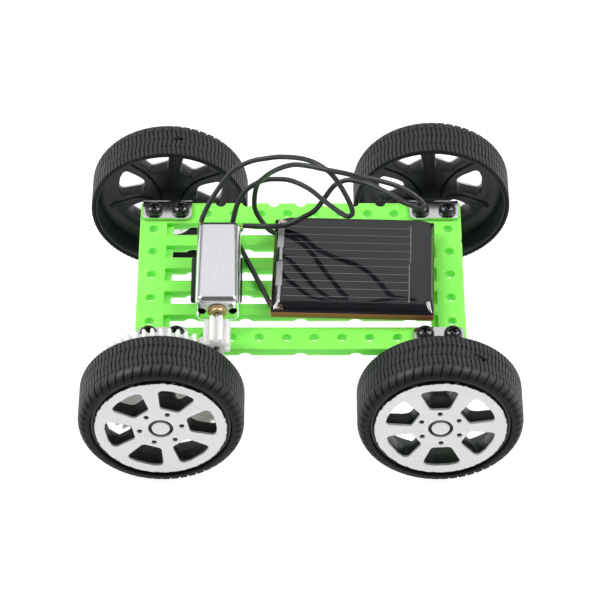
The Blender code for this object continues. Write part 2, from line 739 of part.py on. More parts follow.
def make_armature(shaft_pivot):
    """Three-pole iron core with a coil round each pole's neck."""
    poles = 3
    neck = 0.5 * MM
    core = 0.9 * MM
    shoe = 1.75 * MM
    outline = []
    for pole in range(poles):
        middle = 360 * pole / poles + 90
        direction = math.radians(middle)
        along = Vector((math.cos(direction), math.sin(direction)))
        across = Vector((-along.y, along.x))
        outline.append(tuple(along * core - across * neck))
        outline.append(tuple(along * shoe - across * neck))
        outline += arc(0, 0, ARMATURE_RADIUS, middle - 42, middle + 42, 4)
        outline.append(tuple(along * shoe + across * neck))
        outline.append(tuple(along * core + across * neck))
    bore = rods(SHAFT_RADIUS + RUNNING_GAP, 2 * ARMATURE_LENGTH, [(0, 0, 0)], 12)
    mesh = cut(sheet(outline, ARMATURE_LENGTH), bore)
    place("motor_armature", mesh, BRIGHT_STEEL, motor_place(ARMATURE_Y), ALONG_Y, shaft_pivot)
    for pole in range(poles):
        make_coil(pole, math.tau * pole / poles + math.pi / 2, shaft_pivot)


def make_coil(pole, angle, shaft_pivot):
    """A flat winding round one pole, between the core and its shoe."""
    depth = 0.45 * MM
    radius = 1.3 * MM
    across = 1.7 * MM
    length = ARMATURE_LENGTH + 1 * MM
    outer = box((depth, across, length), (radius, 0, 0))
    mesh = cut(outer, box((4 * depth, 1 * MM + 2 * GAP, ARMATURE_LENGTH + 2 * GAP), (radius, 0, 0)))
    turn = ALONG_Y @ Matrix.Rotation(angle, 4, "Z")
    place(f"motor_coil_{pole + 1}", mesh, COPPER, motor_place(ARMATURE_Y), turn, shaft_pivot)


def make_commutator(shaft_pivot):
    bore = SHAFT_RADIUS + RUNNING_GAP
    half = 1 * MM
    profile = [(bore, half), (COMMUTATOR_RADIUS, half), (COMMUTATOR_RADIUS, -half), (bore, -half)]
    mesh = baked(turned(profile, 12, closed=True))
    place("motor_commutator", mesh, COPPER, motor_place(COMMUTATOR_Y), ALONG_Y, shaft_pivot)


def make_motor_brushes():
    """A springy strip on each side of the commutator, held in the end cap."""
    size = (0.2 * MM, 3 * MM, 1.2 * MM)
    y = MOTOR_BACK_Y - CAP_PLUG - 2 * GAP - size[1] / 2
    for side, sign in (("lower", -1), ("upper", 1)):
        centre = (MOTOR_X + sign * (COMMUTATOR_RADIUS + GAP + size[0] / 2), y, MOTOR_Z)
        place(f"motor_brush_{side}", baked(box(size)), COPPER, centre)


def make_motor_shaft(shaft_pivot):
    back = MOTOR_BACK_Y + CAP_DEPTH - 0.3 * MM
    front = PINION_FRONT_Y - 0.1 * MM
    mesh = baked(rods(SHAFT_RADIUS, back - front, [(0, 0, 0)], 12))
    place("motor_shaft", mesh, BRIGHT_STEEL, motor_place((back + front) / 2), ALONG_Y, shaft_pivot)


def make_motor_pad():
    centre = (MOTOR_X - 0.4 * MM, -2.3 * MM, PLATE_TOP + GAP + PAD_THICKNESS / 2)
    place("motor_foam_pad", baked(box((*MOTOR_PAD_SIZE, PAD_THICKNESS))), BLACK_FOAM, centre)


# Solar panel, built about its own middle


def panel_place(x, y, z):
    """World position of a point given in the panel's own length and width."""
    spot = Matrix.Rotation(PANEL_TURN, 4, "Z") @ Vector((x, y, 0))
    return (PANEL_X + spot.x, PANEL_Y + spot.y, z)


def place_on_panel(name, work, material, x, y, z):
    place(name, baked(work), material, panel_place(x, y, z), Matrix.Rotation(PANEL_TURN, 4, "Z"))


def make_panel():
    board_middle = BOARD_BOTTOM + BOARD_THICKNESS / 2
    pad_middle = PLATE_TOP + GAP + PAD_THICKNESS / 2
    pad = box((*PANEL_PAD_SIZE, PAD_THICKNESS))
    place_on_panel("panel_foam_pad", pad, BLACK_FOAM, 2 * MM, 0, pad_middle)
    board = box((PANEL_LENGTH, PANEL_WIDTH, BOARD_THICKNESS))
    place_on_panel("panel_board", board, BROWN_LAMINATE, 0, 0, board_middle)
    cells = box((CELL_LENGTH, CELL_WIDTH, CELL_THICKNESS))
    place_on_panel("solar_cells", cells, CELL_SILICON, 1.6 * MM, 0, BOARD_TOP + GAP + CELL_THICKNESS / 2)
    make_panel_tabs()
    make_panel_cover()


def make_panel_tabs():
    """The two metal tabs that join the cells' left ends to the board's corner pads."""
    tab_x = -PANEL_LENGTH / 2 + 1.6 * MM
    for name, y, length in (("back", 6.2 * MM, 9.4 * MM), ("front", -5.4 * MM, 11 * MM)):
        tab = box((TAB_WIDTH, length, TAB_THICKNESS))
        place_on_panel(f"cell_tab_{name}", tab, BRIGHT_STEEL, tab_x, y, BOARD_TOP + GAP + TAB_THICKNESS / 2)


def make_panel_cover():
    """Clear resin over the cells: sloped sides, and a shallow pocket underneath for cells and tabs."""
    low = 0.3 * MM
    slope = 1 * MM
    shape = bmesh.new()
    bmesh.ops.create_cube(shape, size=1)
    for corner in shape.verts:
        top = corner.co.z > 0
        side_x = math.copysign(PANEL_LENGTH / 2 - (slope if top else low), corner.co.x)
        side_y = math.copysign(PANEL_WIDTH / 2 - (slope if top else low), corner.co.y)
        corner.co = (side_x, side_y, COVER_HEIGHT if top else 0)
    cover = mesh_object("cover", shape)
    pocket_height = 2 * (CELL_THICKNESS + 2 * GAP)
    pocket = box((PANEL_LENGTH - 1.4 * MM, CELL_WIDTH + 2 * GAP, pocket_height))
    mesh = cut(cover, pocket)
    turn = Matrix.Rotation(PANEL_TURN, 4, "Z")
    place("panel_resin_cover", mesh, CLEAR_RESIN, panel_place(0, 0, BOARD_TOP + GAP), turn)


# Wires


def smooth_route(route):
    """Evenly spaced points on a smooth curve through the route's own points."""
    ends = [2 * route[0] - route[1]] + route + [2 * route[-1] - route[-2]]
    dense = []
    for before, start, end, after in zip(ends, ends[1:], ends[2:], ends[3:]):
        for step in range(20):
            t = step / 20
            bend = 2 * start + (end - before) * t
            bend += (2 * before - 5 * start + 4 * end - after) * t**2
            bend += (3 * start - before - 3 * end + after) * t**3
            dense.append(bend / 2)
    dense.append(route[-1])
    lengths = [0.0]
    for start, end in zip(dense, dense[1:]):
        lengths.append(lengths[-1] + (end - start).length)
    count = math.ceil(lengths[-1] / WIRE_STEP)
    points = []
    reached = 0
    for number in range(count + 1):
        wanted = lengths[-1] * number / count
        while reached < len(dense) - 2 and lengths[reached + 1] < wanted:
            reached += 1
        part = (wanted - lengths[reached]) / (lengths[reached + 1] - lengths[reached])
        points.append(dense[reached].lerp(dense[reached + 1], part))
    return points


def make_wire(name, route):
    points = smooth_route([Vector(point) * MM for point in route])
    curve = bpy.data.curves.new(name, "CURVE")
    curve.dimensions = "3D"
    curve.bevel_depth = WIRE_DIAMETER / 2
    curve.bevel_resolution = 2
    curve.use_fill_caps = True
    spline = curve.splines.new("POLY")
    spline.points.add(len(points) - 1)
    for target, point in zip(spline.points, points):
        target.co = (*point, 1)
    curve.materials.append(BLACK_INSULATION)
    CAR.objects.link(bpy.data.objects.new(name, curve))


# The car

clear_scene()
CAR = new_collection("solar_car_kit")
WORK = new_collection("working_shapes")

GREEN_PLASTIC = surface("green_plastic", (0.10, 0.78, 0.06), 0.35)
BRIGHT_STEEL = surface("bright_steel", (0.72, 0.72, 0.74), 0.28, 1.0)
BLACK_STEEL = surface("black_steel", (0.02, 0.02, 0.02), 0.3, 0.6)
TYRE_RUBBER = surface("tyre_rubber", (0.03, 0.03, 0.035), 0.7)
BLACK_PLASTIC = surface("black_plastic", (0.015, 0.015, 0.016), 0.4)
SILVER_PLASTIC = surface("silver_plastic", (0.75, 0.75, 0.77), 0.35, 0.5)
WHITE_PLASTIC = surface("white_plastic", (0.82, 0.81, 0.8), 0.4)
BRASS = surface("brass", (0.7, 0.45, 0.16), 0.3, 1.0)
COPPER = surface("copper", (0.72, 0.32, 0.14), 0.35, 1.0)
DARK_MAGNET = surface("dark_magnet", (0.05, 0.05, 0.055), 0.6)
BLACK_FOAM = surface("black_foam", (0.02, 0.02, 0.02), 0.9)
BROWN_LAMINATE = surface("brown_laminate", (0.3, 0.12, 0.04), 0.5)
CELL_SILICON = surface("cell_silicon", (0.06, 0.06, 0.075), 0.3)
CLEAR_RESIN = surface("clear_resin", (0.07, 0.07, 0.08), 0.1)
BLACK_INSULATION = surface("black_insulation", (0.03, 0.03, 0.03), 0.4)

TYRE_MESH = make_tyre_mesh()
RIM_MESH = make_rim_mesh()
CAP_MESH = make_cap_mesh()

make_chassis_plate()
make_brackets()
make_screws()

drive_pivot = pivot("drive_axle_pivot", (AXLE_X["left"], 0, WHEEL_RADIUS))
free_pivot = pivot("free_axle_pivot", (AXLE_X["right"], 0, WHEEL_RADIUS))
for axle_end, wheel_pivot in (("left", drive_pivot), ("right", free_pivot)):
    make_axle(axle_end, wheel_pivot)
    make_wheels(axle_end, wheel_pivot)
make_drive_gear(drive_pivot)

rotor_pivot = pivot("motor_rotor_pivot", (MOTOR_X, 0, MOTOR_Z))
make_motor_shaft(rotor_pivot)
make_pinion(rotor_pivot)
make_armature(rotor_pivot)
make_commutator(rotor_pivot)
make_motor_can()
make_motor_bush()
make_motor_end_cap()
make_motor_terminals()
make_motor_magnets()
make_motor_brushes()
make_motor_pad()

make_panel()
make_wire("wire_panel_to_right_terminal", BACK_WIRE_ROUTE)
make_wire("wire_left_terminal_to_panel", FRONT_WIRE_ROUTE)
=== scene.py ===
"""The looks of the small solar car kit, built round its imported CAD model.

Every place and size comes from the frame: its nodes' boxes, its joints and its record.
Metres. +X runs along the car, +Y across it, +Z up. "Near" is the side at -Y and "far" the side at +Y.
"""

import json
import math

import bmesh
import bpy
import numpy as np
from mathutils import Matrix, Vector


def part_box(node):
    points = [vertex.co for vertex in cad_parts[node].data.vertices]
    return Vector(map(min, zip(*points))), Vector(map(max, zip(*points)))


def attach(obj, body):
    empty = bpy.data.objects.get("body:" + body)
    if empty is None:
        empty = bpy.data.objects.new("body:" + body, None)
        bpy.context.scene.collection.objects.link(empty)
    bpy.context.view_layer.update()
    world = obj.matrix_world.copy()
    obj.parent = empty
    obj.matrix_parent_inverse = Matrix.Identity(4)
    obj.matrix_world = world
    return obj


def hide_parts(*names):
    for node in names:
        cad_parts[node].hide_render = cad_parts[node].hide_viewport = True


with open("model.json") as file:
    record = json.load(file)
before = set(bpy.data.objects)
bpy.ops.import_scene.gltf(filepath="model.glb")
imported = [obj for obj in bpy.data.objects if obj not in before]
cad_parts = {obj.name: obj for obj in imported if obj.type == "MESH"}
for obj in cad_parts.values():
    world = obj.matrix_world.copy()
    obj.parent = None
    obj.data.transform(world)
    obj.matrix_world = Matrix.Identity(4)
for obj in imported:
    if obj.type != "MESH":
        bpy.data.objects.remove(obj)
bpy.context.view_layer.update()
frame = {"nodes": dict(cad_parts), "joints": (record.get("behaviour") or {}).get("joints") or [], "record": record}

MM = 0.001
ENDS = ("left", "right")
SIDES = {"near": -1, "far": 1}
JOINTS = {joint["name"]: joint for joint in frame["joints"]}
AXLE_PLACE = {
    "left": Vector(JOINTS["drive_axle_spin"]["pos_m"]),
    "right": Vector(JOINTS["free_axle_spin"]["pos_m"]),
}
SHAFT_PLACE = Vector(JOINTS["motor_spin"]["pos_m"])
AXLE_BODY = {"left": "drive_axle", "right": "free_axle"}
GEAR_RATIO = -frame["record"]["behaviour"]["couplings"][0]["ratio"]


def size_of(node):
    low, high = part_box(node)
    return high - low


def middle_of(node):
    low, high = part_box(node)
    return (low + high) / 2


def on_axis(node, axis):
    """The point on a part's own axis, which runs along Y, that is level with the part's middle."""
    return Vector((axis.x, middle_of(node).y, axis.z))


def linked(name, data):
    """A new object that holds the data, linked to the scene."""
    thing = bpy.data.objects.new(name, data)
    bpy.context.scene.collection.objects.link(thing)
    return thing


# Camera


def make_camera():
    """A long lens looking along +Y and down on the axles' middle."""
    elevation = math.radians(45.9)
    distance = 585 * MM
    data = bpy.data.cameras.new("camera")
    data.lens = 189
    data.sensor_width = 36
    data.clip_start = 0.05
    data.clip_end = 20
    camera = linked("camera", data)
    back = Vector((0, -math.cos(elevation), math.sin(elevation)))
    up = Vector((0, math.sin(elevation), math.cos(elevation)))
    target = Vector((-0.12 * MM, 0, AXLE_PLACE["left"].z))
    camera.location = target + back * distance - up * 0.19 * MM
    camera.rotation_euler = (math.pi / 2 - elevation, 0, 0)
    bpy.context.scene.camera = camera


make_camera()


# Node material helpers


class Paint:
    """A node material under construction: a Principled shader and short calls that add nodes to it."""

    def __init__(self, name):
        self.material = bpy.data.materials.new(name)
        self.material.use_nodes = True
        self.tree = self.material.node_tree
        self.shader = self.tree.nodes["Principled BSDF"]
        self.place = self.tree.nodes.new("ShaderNodeTexCoord").outputs["Object"]

    def put(self, target, value):
        """Link a socket, or set a plain value."""
        if isinstance(value, bpy.types.NodeSocket):
            self.tree.links.new(value, target)
        elif isinstance(value, tuple) and len(value) == 3 and target.type == "RGBA":
            target.default_value = (*value, 1)
        else:
            target.default_value = value

    def shade(self, **values):
        for name, value in values.items():
            self.put(self.shader.inputs[name.replace("_", " ").title().replace("Ior", "IOR")], value)

    def stretch(self, scale):
        """The object's own coordinates, scaled along each axis."""
        node = self.tree.nodes.new("ShaderNodeMapping")
        node.inputs["Scale"].default_value = scale
        self.tree.links.new(self.place, node.inputs["Vector"])
        return node.outputs["Vector"]

    def noise(self, size, detail=3, vector=None):
        """Noise with features about `size` metres across, from 0 to 1."""
        node = self.tree.nodes.new("ShaderNodeTexNoise")
        node.inputs["Scale"].default_value = 1 / size
        node.inputs["Detail"].default_value = detail
        self.tree.links.new(vector or self.place, node.inputs["Vector"])
        return node.outputs["Fac"]

    def cells(self, size):
        node = self.tree.nodes.new("ShaderNodeTexVoronoi")
        node.inputs["Scale"].default_value = 1 / size
        self.tree.links.new(self.place, node.inputs["Vector"])
        return node.outputs["Distance"]

    def span(self, value, low, high, to_low=0.0, to_high=1.0):
        """A value between low and high carried to the range to_low to to_high, and held there outside it."""
        node = self.tree.nodes.new("ShaderNodeMapRange")
        self.put(node.inputs["Value"], value)
        for name, number in (("From Min", low), ("From Max", high), ("To Min", to_low), ("To Max", to_high)):
            node.inputs[name].default_value = number
        return node.outputs["Result"]

    def grade(self, noise, low, high):
        """A noise's usual range carried to the range low to high."""
        return self.span(noise, 0.3, 0.7, low, high)

    def mix(self, factor, first, second):
        node = self.tree.nodes.new("ShaderNodeMix")
        node.data_type = "RGBA"
        self.put(node.inputs[0], factor)
        self.put(node.inputs[6], first)
        self.put(node.inputs[7], second)
        return node.outputs[2]

    def maths(self, operation, first, second=0.0):
        node = self.tree.nodes.new("ShaderNodeMath")
        node.operation = operation
        self.put(node.inputs[0], first)
        self.put(node.inputs[1], second)
        return node.outputs[0]

    def from_axle(self):
        """Distance from the object's own Y axis, and distance along that axis from its middle."""
        node = self.tree.nodes.new("ShaderNodeSeparateXYZ")
        self.tree.links.new(self.place, node.inputs[0])
        x, y, z = node.outputs
        squares = self.maths("ADD", self.maths("POWER", x, 2.0), self.maths("POWER", z, 2.0))
        return self.maths("SQRT", squares), self.maths("ABSOLUTE", y)

    def edges(self, radius):
        """Near 1 on sharp edges and near 0 on open faces."""
        node = self.tree.nodes.new("ShaderNodeNewGeometry")
        return self.span(node.outputs["Pointiness"], 0.5, 0.5 + radius)

    def bump(self, height, depth, strength=1.0):
        """Roughen the surface by `depth` metres where height goes from 0 to 1."""
        node = self.tree.nodes.new("ShaderNodeBump")
        node.inputs["Strength"].default_value = strength
        node.inputs["Distance"].default_value = depth
        self.tree.links.new(height, node.inputs["Height"])
        self.tree.links.new(node.outputs["Normal"], self.shader.inputs["Normal"])


# Materials


def green_plastic():
    paint = Paint("green_plastic")
    cloud = paint.noise(9 * MM)
    color = paint.mix(cloud, (0.19, 0.73, 0.07), (0.25, 0.78, 0.11))
    speck = paint.noise(0.5 * MM, 2)
    color = paint.mix(paint.span(speck, 0.55, 0.8, 0, 0.35), color, (0.33, 0.86, 0.20))
    paint.shade(base_color=color, roughness=paint.grade(cloud, 0.34, 0.46))
    paint.shade(subsurface_weight=0.85, subsurface_scale=2.4 * MM)
    paint.shader.inputs["Subsurface Radius"].default_value = (0.5, 1.0, 0.4)
    paint.bump(paint.noise(0.25 * MM, 4), 0.02 * MM)
    return paint.material


def bright_steel(name, color, grain, rough):
    """Rolled sheet or drawn bar, with fine lines along the stretched axis of `grain`."""
    paint = Paint(name)
    lines = paint.noise(0.2 * MM, 3, paint.stretch(grain))
    dull = paint.noise(4 * MM, 2)
    light = tuple(min(1, 1.12 * part) for part in color)
    paint.shade(base_color=paint.mix(lines, color, light), metallic=1.0)
    uneven = paint.maths("ADD", lines, dull)
    paint.shade(roughness=paint.span(uneven, 0.7, 1.3, rough * 0.8, rough * 1.3))
    paint.bump(lines, 0.004 * MM)
    return paint.material


def black_steel():
    paint = Paint("black_steel")
    # Edges painted lighter: partly worn finish, partly a painted highlight along the edges.
    edge_wear_and_highlight = paint.edges(0.12)
    cloud = paint.noise(0.8 * MM)
    color = paint.mix(cloud, (0.012, 0.012, 0.013), (0.03, 0.03, 0.032))
    paint.shade(base_color=paint.mix(paint.maths("MULTIPLY", edge_wear_and_highlight, 0.5), color, (0.22, 0.22, 0.23)))
    paint.shade(metallic=0.75, roughness=paint.grade(cloud, 0.16, 0.3))
    paint.bump(paint.noise(0.15 * MM), 0.006 * MM)
    return paint.material


def tyre_rubber():
    """Rubber with specks of dust, and painted shade: darker from the shoulder inwards and at both side edges of
    the tread.
    """
    paint = Paint("tyre_rubber")
    cloud = paint.noise(3 * MM)
    half_width = size_of("tyre_near_left").y / 2
    from_axle, from_middle = paint.from_axle()
    # The tread's mask: off it, the colour below is painted darker as painted shade.
    inside = paint.span(from_middle, half_width - 0.5 * MM, half_width - 0.15 * MM, 1, 0)
    tread = paint.maths("MULTIPLY", paint.span(from_axle, 13.9 * MM, 14.65 * MM), inside)
    color = paint.mix(cloud, (0.012, 0.012, 0.0135), (0.020, 0.020, 0.022))
    dust = paint.span(paint.noise(0.6 * MM, 4), 0.5, 0.8)
    color = paint.mix(paint.maths("MULTIPLY", dust, 0.35), color, (0.04, 0.04, 0.043))
    # Painted shade: the colour is darkened off the tread, from the shoulder inwards and at the sides.
    color = paint.mix(tread, (0.006, 0.006, 0.007), color)
    paint.shade(base_color=color, roughness=paint.grade(cloud, 0.46, 0.6))
    paint.shade(specular_ior_level=paint.span(tread, 0, 1, 0.18, 0.42))
    paint.bump(paint.noise(0.12 * MM, 4), 0.015 * MM)
    return paint.material


def black_plastic():
    paint = Paint("black_plastic")
    cloud = paint.noise(2 * MM)
    color = paint.mix(cloud, (0.016, 0.019, 0.022), (0.027, 0.031, 0.035))
    paint.shade(base_color=color, roughness=paint.grade(cloud, 0.3, 0.44), specular_ior_level=0.3)
    paint.bump(paint.noise(0.2 * MM), 0.008 * MM)
    return paint.material


def silver_plastic():
    """Silver-sprayed plastic: pale flakes under a satin coat, chipped back to black along the outer edge."""
    paint = Paint("silver_plastic")
    flakes = paint.cells(0.12 * MM)
    cloud = paint.noise(1.4 * MM, 4)
    color = paint.mix(paint.span(flakes, 0.1, 0.6), (0.60, 0.60, 0.62), (0.73, 0.73, 0.745))
    color = paint.mix(paint.span(cloud, 0.35, 0.7, 0, 0.35), color, (0.66, 0.66, 0.675))
    from_axle, _ = paint.from_axle()
    ragged = paint.maths("MULTIPLY", paint.noise(0.8 * MM, 4), 0.75 * MM)
    chip = paint.span(paint.maths("ADD", from_axle, ragged), 12.17 * MM, 12.21 * MM)
    paint.shade(base_color=paint.mix(chip, color, (0.012, 0.012, 0.013)))
    paint.shade(metallic=paint.span(chip, 0, 1, 0.3, 0), roughness=paint.grade(cloud, 0.36, 0.5))
    paint.bump(paint.noise(0.35 * MM, 4), 0.02 * MM)
    return paint.material


def white_plastic():
    """Milky nylon that lets a little light through, with a faint painted glow."""
    paint = Paint("white_plastic")
    cloud = paint.noise(1.5 * MM)
    color = paint.mix(cloud, (0.62, 0.615, 0.625), (0.70, 0.695, 0.70))
    paint.shade(base_color=color, roughness=paint.grade(cloud, 0.28, 0.4))
    paint.shade(subsurface_weight=1.0, subsurface_scale=2.5 * MM, transmission_weight=0.2)
    # Painted light: a faint emission lifts the gear's and pinion's shaded faces.
    paint.shade(emission_color=(0.9, 0.93, 0.82), emission_strength=0.1)
    paint.shader.inputs["Subsurface Radius"].default_value = (1.0, 1.0, 0.95)
    paint.bump(paint.noise(0.3 * MM), 0.01 * MM)
    return paint.material


def bright_metal(name, color, rough, tarnish):
    """Brass or copper, a little dull in patches."""
    paint = Paint(name)
    cloud = paint.noise(0.7 * MM, 4)
    paint.shade(base_color=paint.mix(paint.span(cloud, 0.45, 0.75), color, tarnish), metallic=1.0)
    paint.shade(roughness=paint.grade(cloud, rough, rough * 1.8))
    paint.bump(paint.noise(0.1 * MM), 0.004 * MM)
    return paint.material


def sintered_magnet():
    paint = Paint("sintered_magnet")
    grain = paint.noise(0.1 * MM, 4)
    paint.shade(base_color=paint.mix(grain, (0.03, 0.03, 0.033), (0.07, 0.07, 0.075)))
    paint.shade(roughness=paint.grade(grain, 0.5, 0.7))
    paint.bump(grain, 0.01 * MM)
    return paint.material


def black_foam():
    paint = Paint("black_foam")
    pores = paint.cells(0.35 * MM)
    paint.shade(base_color=paint.mix(pores, (0.006, 0.007, 0.007), (0.022, 0.023, 0.023)))
    paint.shade(roughness=paint.span(pores, 0, 0.6, 0.75, 0.95))
    paint.bump(pores, 0.12 * MM)
    return paint.material


def brown_laminate():
    """Resin board with its paper layers showing as thin lines along the cut edge."""
    paint = Paint("brown_laminate")
    layers = paint.noise(0.25 * MM, 2, paint.stretch((0.05, 0.05, 1.5)))
    cloud = paint.noise(1.2 * MM)
    color = paint.mix(layers, (0.20, 0.055, 0.018), (0.46, 0.17, 0.05))
    color = paint.mix(paint.span(cloud, 0.4, 0.7, 0, 0.5), color, (0.30, 0.09, 0.03))
    paint.shade(base_color=color, roughness=paint.grade(cloud, 0.35, 0.55))
    paint.bump(layers, 0.03 * MM)
    return paint.material


def cell_silicon():
    """Dark cells with a faint cloudy sheen."""
    paint = Paint("cell_silicon")
    cloud = paint.noise(5 * MM)
    color = paint.mix(cloud, (0.0042, 0.0044, 0.008), (0.006, 0.0063, 0.0115))
    paint.shade(base_color=color, roughness=paint.grade(cloud, 0.55, 0.65))
    paint.shade(specular_ior_level=0.15)
    return paint.material


def cell_line():
    paint = Paint("cell_line")
    grain = paint.noise(0.2 * MM, 3)
    paint.shade(base_color=paint.mix(grain, (0.20, 0.20, 0.22), (0.34, 0.34, 0.36)))
    paint.shade(metallic=0.3, roughness=paint.grade(grain, 0.4, 0.6))
    paint.bump(grain, 0.004 * MM)
    return paint.material


def clear_resin():
    """Glossy cast resin with a faint swell in its surface."""
    paint = Paint("clear_resin")
    cloud = paint.noise(6 * MM, 2)
    paint.shade(base_color=paint.mix(cloud, (0.88, 0.89, 0.92), (0.93, 0.93, 0.95)))
    paint.shade(roughness=paint.grade(cloud, 0.01, 0.025), ior=1.5, transmission_weight=1.0)
    paint.bump(paint.noise(5 * MM, 1), 0.01 * MM, 0.2)
    return paint.material


def black_insulation():
    paint = Paint("black_insulation")
    cloud = paint.noise(1.5 * MM)
    paint.shade(base_color=paint.mix(cloud, (0.009, 0.011, 0.011), (0.016, 0.019, 0.019)))
    paint.shade(roughness=paint.grade(cloud, 0.34, 0.5))
    paint.bump(paint.noise(0.3 * MM), 0.01 * MM)
    return paint.material


def solder():
    paint = Paint("solder")
    cloud = paint.noise(0.4 * MM, 4)
    paint.shade(base_color=paint.mix(cloud, (0.5, 0.5, 0.52), (0.75, 0.75, 0.77)), metallic=1.0)
    paint.shade(roughness=paint.grade(cloud, 0.15, 0.35))
    paint.bump(cloud, 0.03 * MM)
    return paint.material


GREEN = green_plastic()
SHEET_STEEL = bright_steel("sheet_steel", (0.60, 0.60, 0.62), (0.04, 1, 1), 0.13)
ROD_STEEL = bright_steel("rod_steel", (0.62, 0.62, 0.64), (1, 0.04, 1), 0.24)
CAN_STEEL = bright_steel("can_steel", (0.74, 0.74, 0.77), (1, 0.03, 1), 0.14)
TAB_STEEL = bright_steel("tab_steel", (0.54, 0.53, 0.54), (1, 0.1, 1), 0.42)
BLACK_STEEL = black_steel()
RUBBER = tyre_rubber()
BLACK = black_plastic()
SILVER = silver_plastic()
WHITE = white_plastic()
BRASS = bright_metal("brass", (0.60, 0.43, 0.25), 0.3, (0.42, 0.28, 0.15))
COPPER = bright_metal("copper", (0.80, 0.36, 0.17), 0.25, (0.5, 0.2, 0.09))
MAGNET = sintered_magnet()
FOAM = black_foam()
LAMINATE = brown_laminate()
SILICON = cell_silicon()
CELL_LINE = cell_line()
RESIN = clear_resin()
INSULATION = black_insulation()
SOLDER = solder()


# Mesh helpers


def add_piece(name, mesh, material, body, nodes=(), place=None, sharp=35):
    """A visible piece that rides on a CAD body and stands for CAD nodes."""
    place = place or Matrix.Identity(4)
    mesh.transform(place.to_3x3().to_4x4())
    mesh.materials.clear()
    mesh.materials.append(material)
    mesh.shade_smooth()
    mesh.set_sharp_from_angle(angle=math.radians(sharp))
    piece = linked(name, mesh)
    piece.location = place.translation
    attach(piece, body)
    if nodes:
        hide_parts(*nodes)
    return piece


def to_mesh(name, shape):
    """The mesh of a bmesh, with its faces turned outwards. The bmesh is freed."""
    bmesh.ops.recalc_face_normals(shape, faces=shape.faces)
    mesh = bpy.data.meshes.new(name)
    shape.to_mesh(mesh)
    shape.free()
    return mesh


def baked(work):
    """The mesh of a working object with its modifiers applied. The object is removed."""
    bpy.context.view_layer.update()
    seen = work.evaluated_get(bpy.context.evaluated_depsgraph_get())
    mesh = bpy.data.meshes.new_from_object(seen)
    bpy.data.objects.remove(work, do_unlink=True)
    return mesh


def working(mesh_or_curve):
    return linked("work", mesh_or_curve)


def combined(mesh, other, operation):
    """The Boolean of two closed meshes."""
    work = working(mesh)
    tool = working(other)
    modifier = work.modifiers.new("combine", "BOOLEAN")
    modifier.operation = operation
    modifier.object = tool
    result = baked(work)
    bpy.data.objects.remove(tool, do_unlink=True)
    return result


def cut(mesh, tool):
    return combined(mesh, tool, "DIFFERENCE")


def joined(mesh, other):
    return combined(mesh, other, "UNION")


def softened(mesh, width, segments=2, angle=40):
    """The mesh with its sharp edges rounded over `width`."""
    work = working(mesh)
    modifier = work.modifiers.new("soften", "BEVEL")
    modifier.width = width
    modifier.segments = segments
    modifier.limit_method = "ANGLE"
    modifier.angle_limit = math.radians(angle)
    return baked(work)


def loops_mesh(name, loops):
    """A closed surface through equal loops of points, with its two ends capped."""
    shape = bmesh.new()
    rows = [[shape.verts.new(point) for point in loop] for loop in loops]
    count = len(loops[0])
    for lower, upper in zip(rows, rows[1:]):
        for index in range(count):
            after = (index + 1) % count
            shape.faces.new((lower[index], lower[after], upper[after], upper[index]))
    shape.faces.new(list(reversed(rows[0])))
    shape.faces.new(rows[-1])
    return to_mesh(name, shape)


def turned(name, profile, steps):
    """A closed profile of (radius, z) points turned about Z. A point on the axis is shared."""
    shape = bmesh.new()
    rows = []
    for radius, z in profile:
        if radius < 0.001 * MM:
            rows.append([shape.verts.new((0, 0, z))] * steps)
            continue
        row = []
        for step in range(steps):
            angle = math.tau * step / steps
            row.append(shape.verts.new((radius * math.cos(angle), radius * math.sin(angle), z)))
        rows.append(row)
    for first, second in zip(rows, rows[1:] + rows[:1]):
        for step in range(steps):
            after = (step + 1) % steps
            corners = []
            for vert in (first[step], first[after], second[after], second[step]):
                if vert not in corners:
                    corners.append(vert)
            if len(corners) > 2:
                shape.faces.new(corners)
    return to_mesh(name, shape)


def box_mesh(size, centre=(0, 0, 0)):
    shape = bmesh.new()
    bmesh.ops.create_cube(shape, size=1, matrix=Matrix.Translation(centre) @ Matrix.Diagonal((*size, 1)))
    return to_mesh("box", shape)


def box_between(low, high):
    size = [top - bottom for bottom, top in zip(low, high)]
    centre = [(top + bottom) / 2 for bottom, top in zip(low, high)]
    return box_mesh(size, centre)


def rods_mesh(radius, length, centres, steps=32, turn=None):
    shape = bmesh.new()
    for centre in centres:
        bmesh.ops.create_cone(
            shape,
            cap_ends=True,
            segments=steps,
            radius1=radius,
            radius2=radius,
            depth=length,
            matrix=Matrix.Translation(centre) @ (turn or Matrix.Identity(4)),
        )
    return to_mesh("rods", shape)


def meshes_together(meshes):
    """One mesh that holds several that don't touch."""
    shape = bmesh.new()
    for mesh in meshes:
        shape.from_mesh(mesh)
    return to_mesh("together", shape)


def circle(centre_x, centre_y, radius, steps):
    """Points round a circle."""
    points = []
    for step in range(steps):
        angle = math.tau * step / steps
        points.append((centre_x + radius * math.cos(angle), centre_y + radius * math.sin(angle)))
    return points


def quarter_turn(steps, first=0, last=None):
    """The sine and cosine of each step's angle on the way from 0 to a right angle."""
    angles = [math.pi / 2 * step / steps for step in range(steps + 1)]
    return [(math.sin(angle), math.cos(angle)) for angle in angles[first:last]]


def rounded_corners(corners, radius, steps=5):
    """A polygon's outline with each corner rounded."""
    outline = []
    count = len(corners)
    for index in range(count):
        before = Vector(corners[index - 1])
        corner = Vector(corners[index])
        after = Vector(corners[(index + 1) % count])
        to_before = (before - corner).normalized()
        to_after = (after - corner).normalized()
        half = to_before.angle(to_after) / 2
        reach = radius / math.tan(half)
        middle = corner + (to_before + to_after).normalized() * radius / math.sin(half)
        start = corner + to_before * reach - middle
        end = corner + to_after * reach - middle
        for step in range(steps + 1):
            way = start.lerp(end, step / steps).normalized() * radius
            outline.append(tuple(middle + way))
    return outline


def rounded_rectangle(width, height, radius, steps=6):
    x = width / 2
    y = height / 2
    return rounded_corners([(x, -y), (x, y), (-x, y), (-x, -y)], radius, steps)


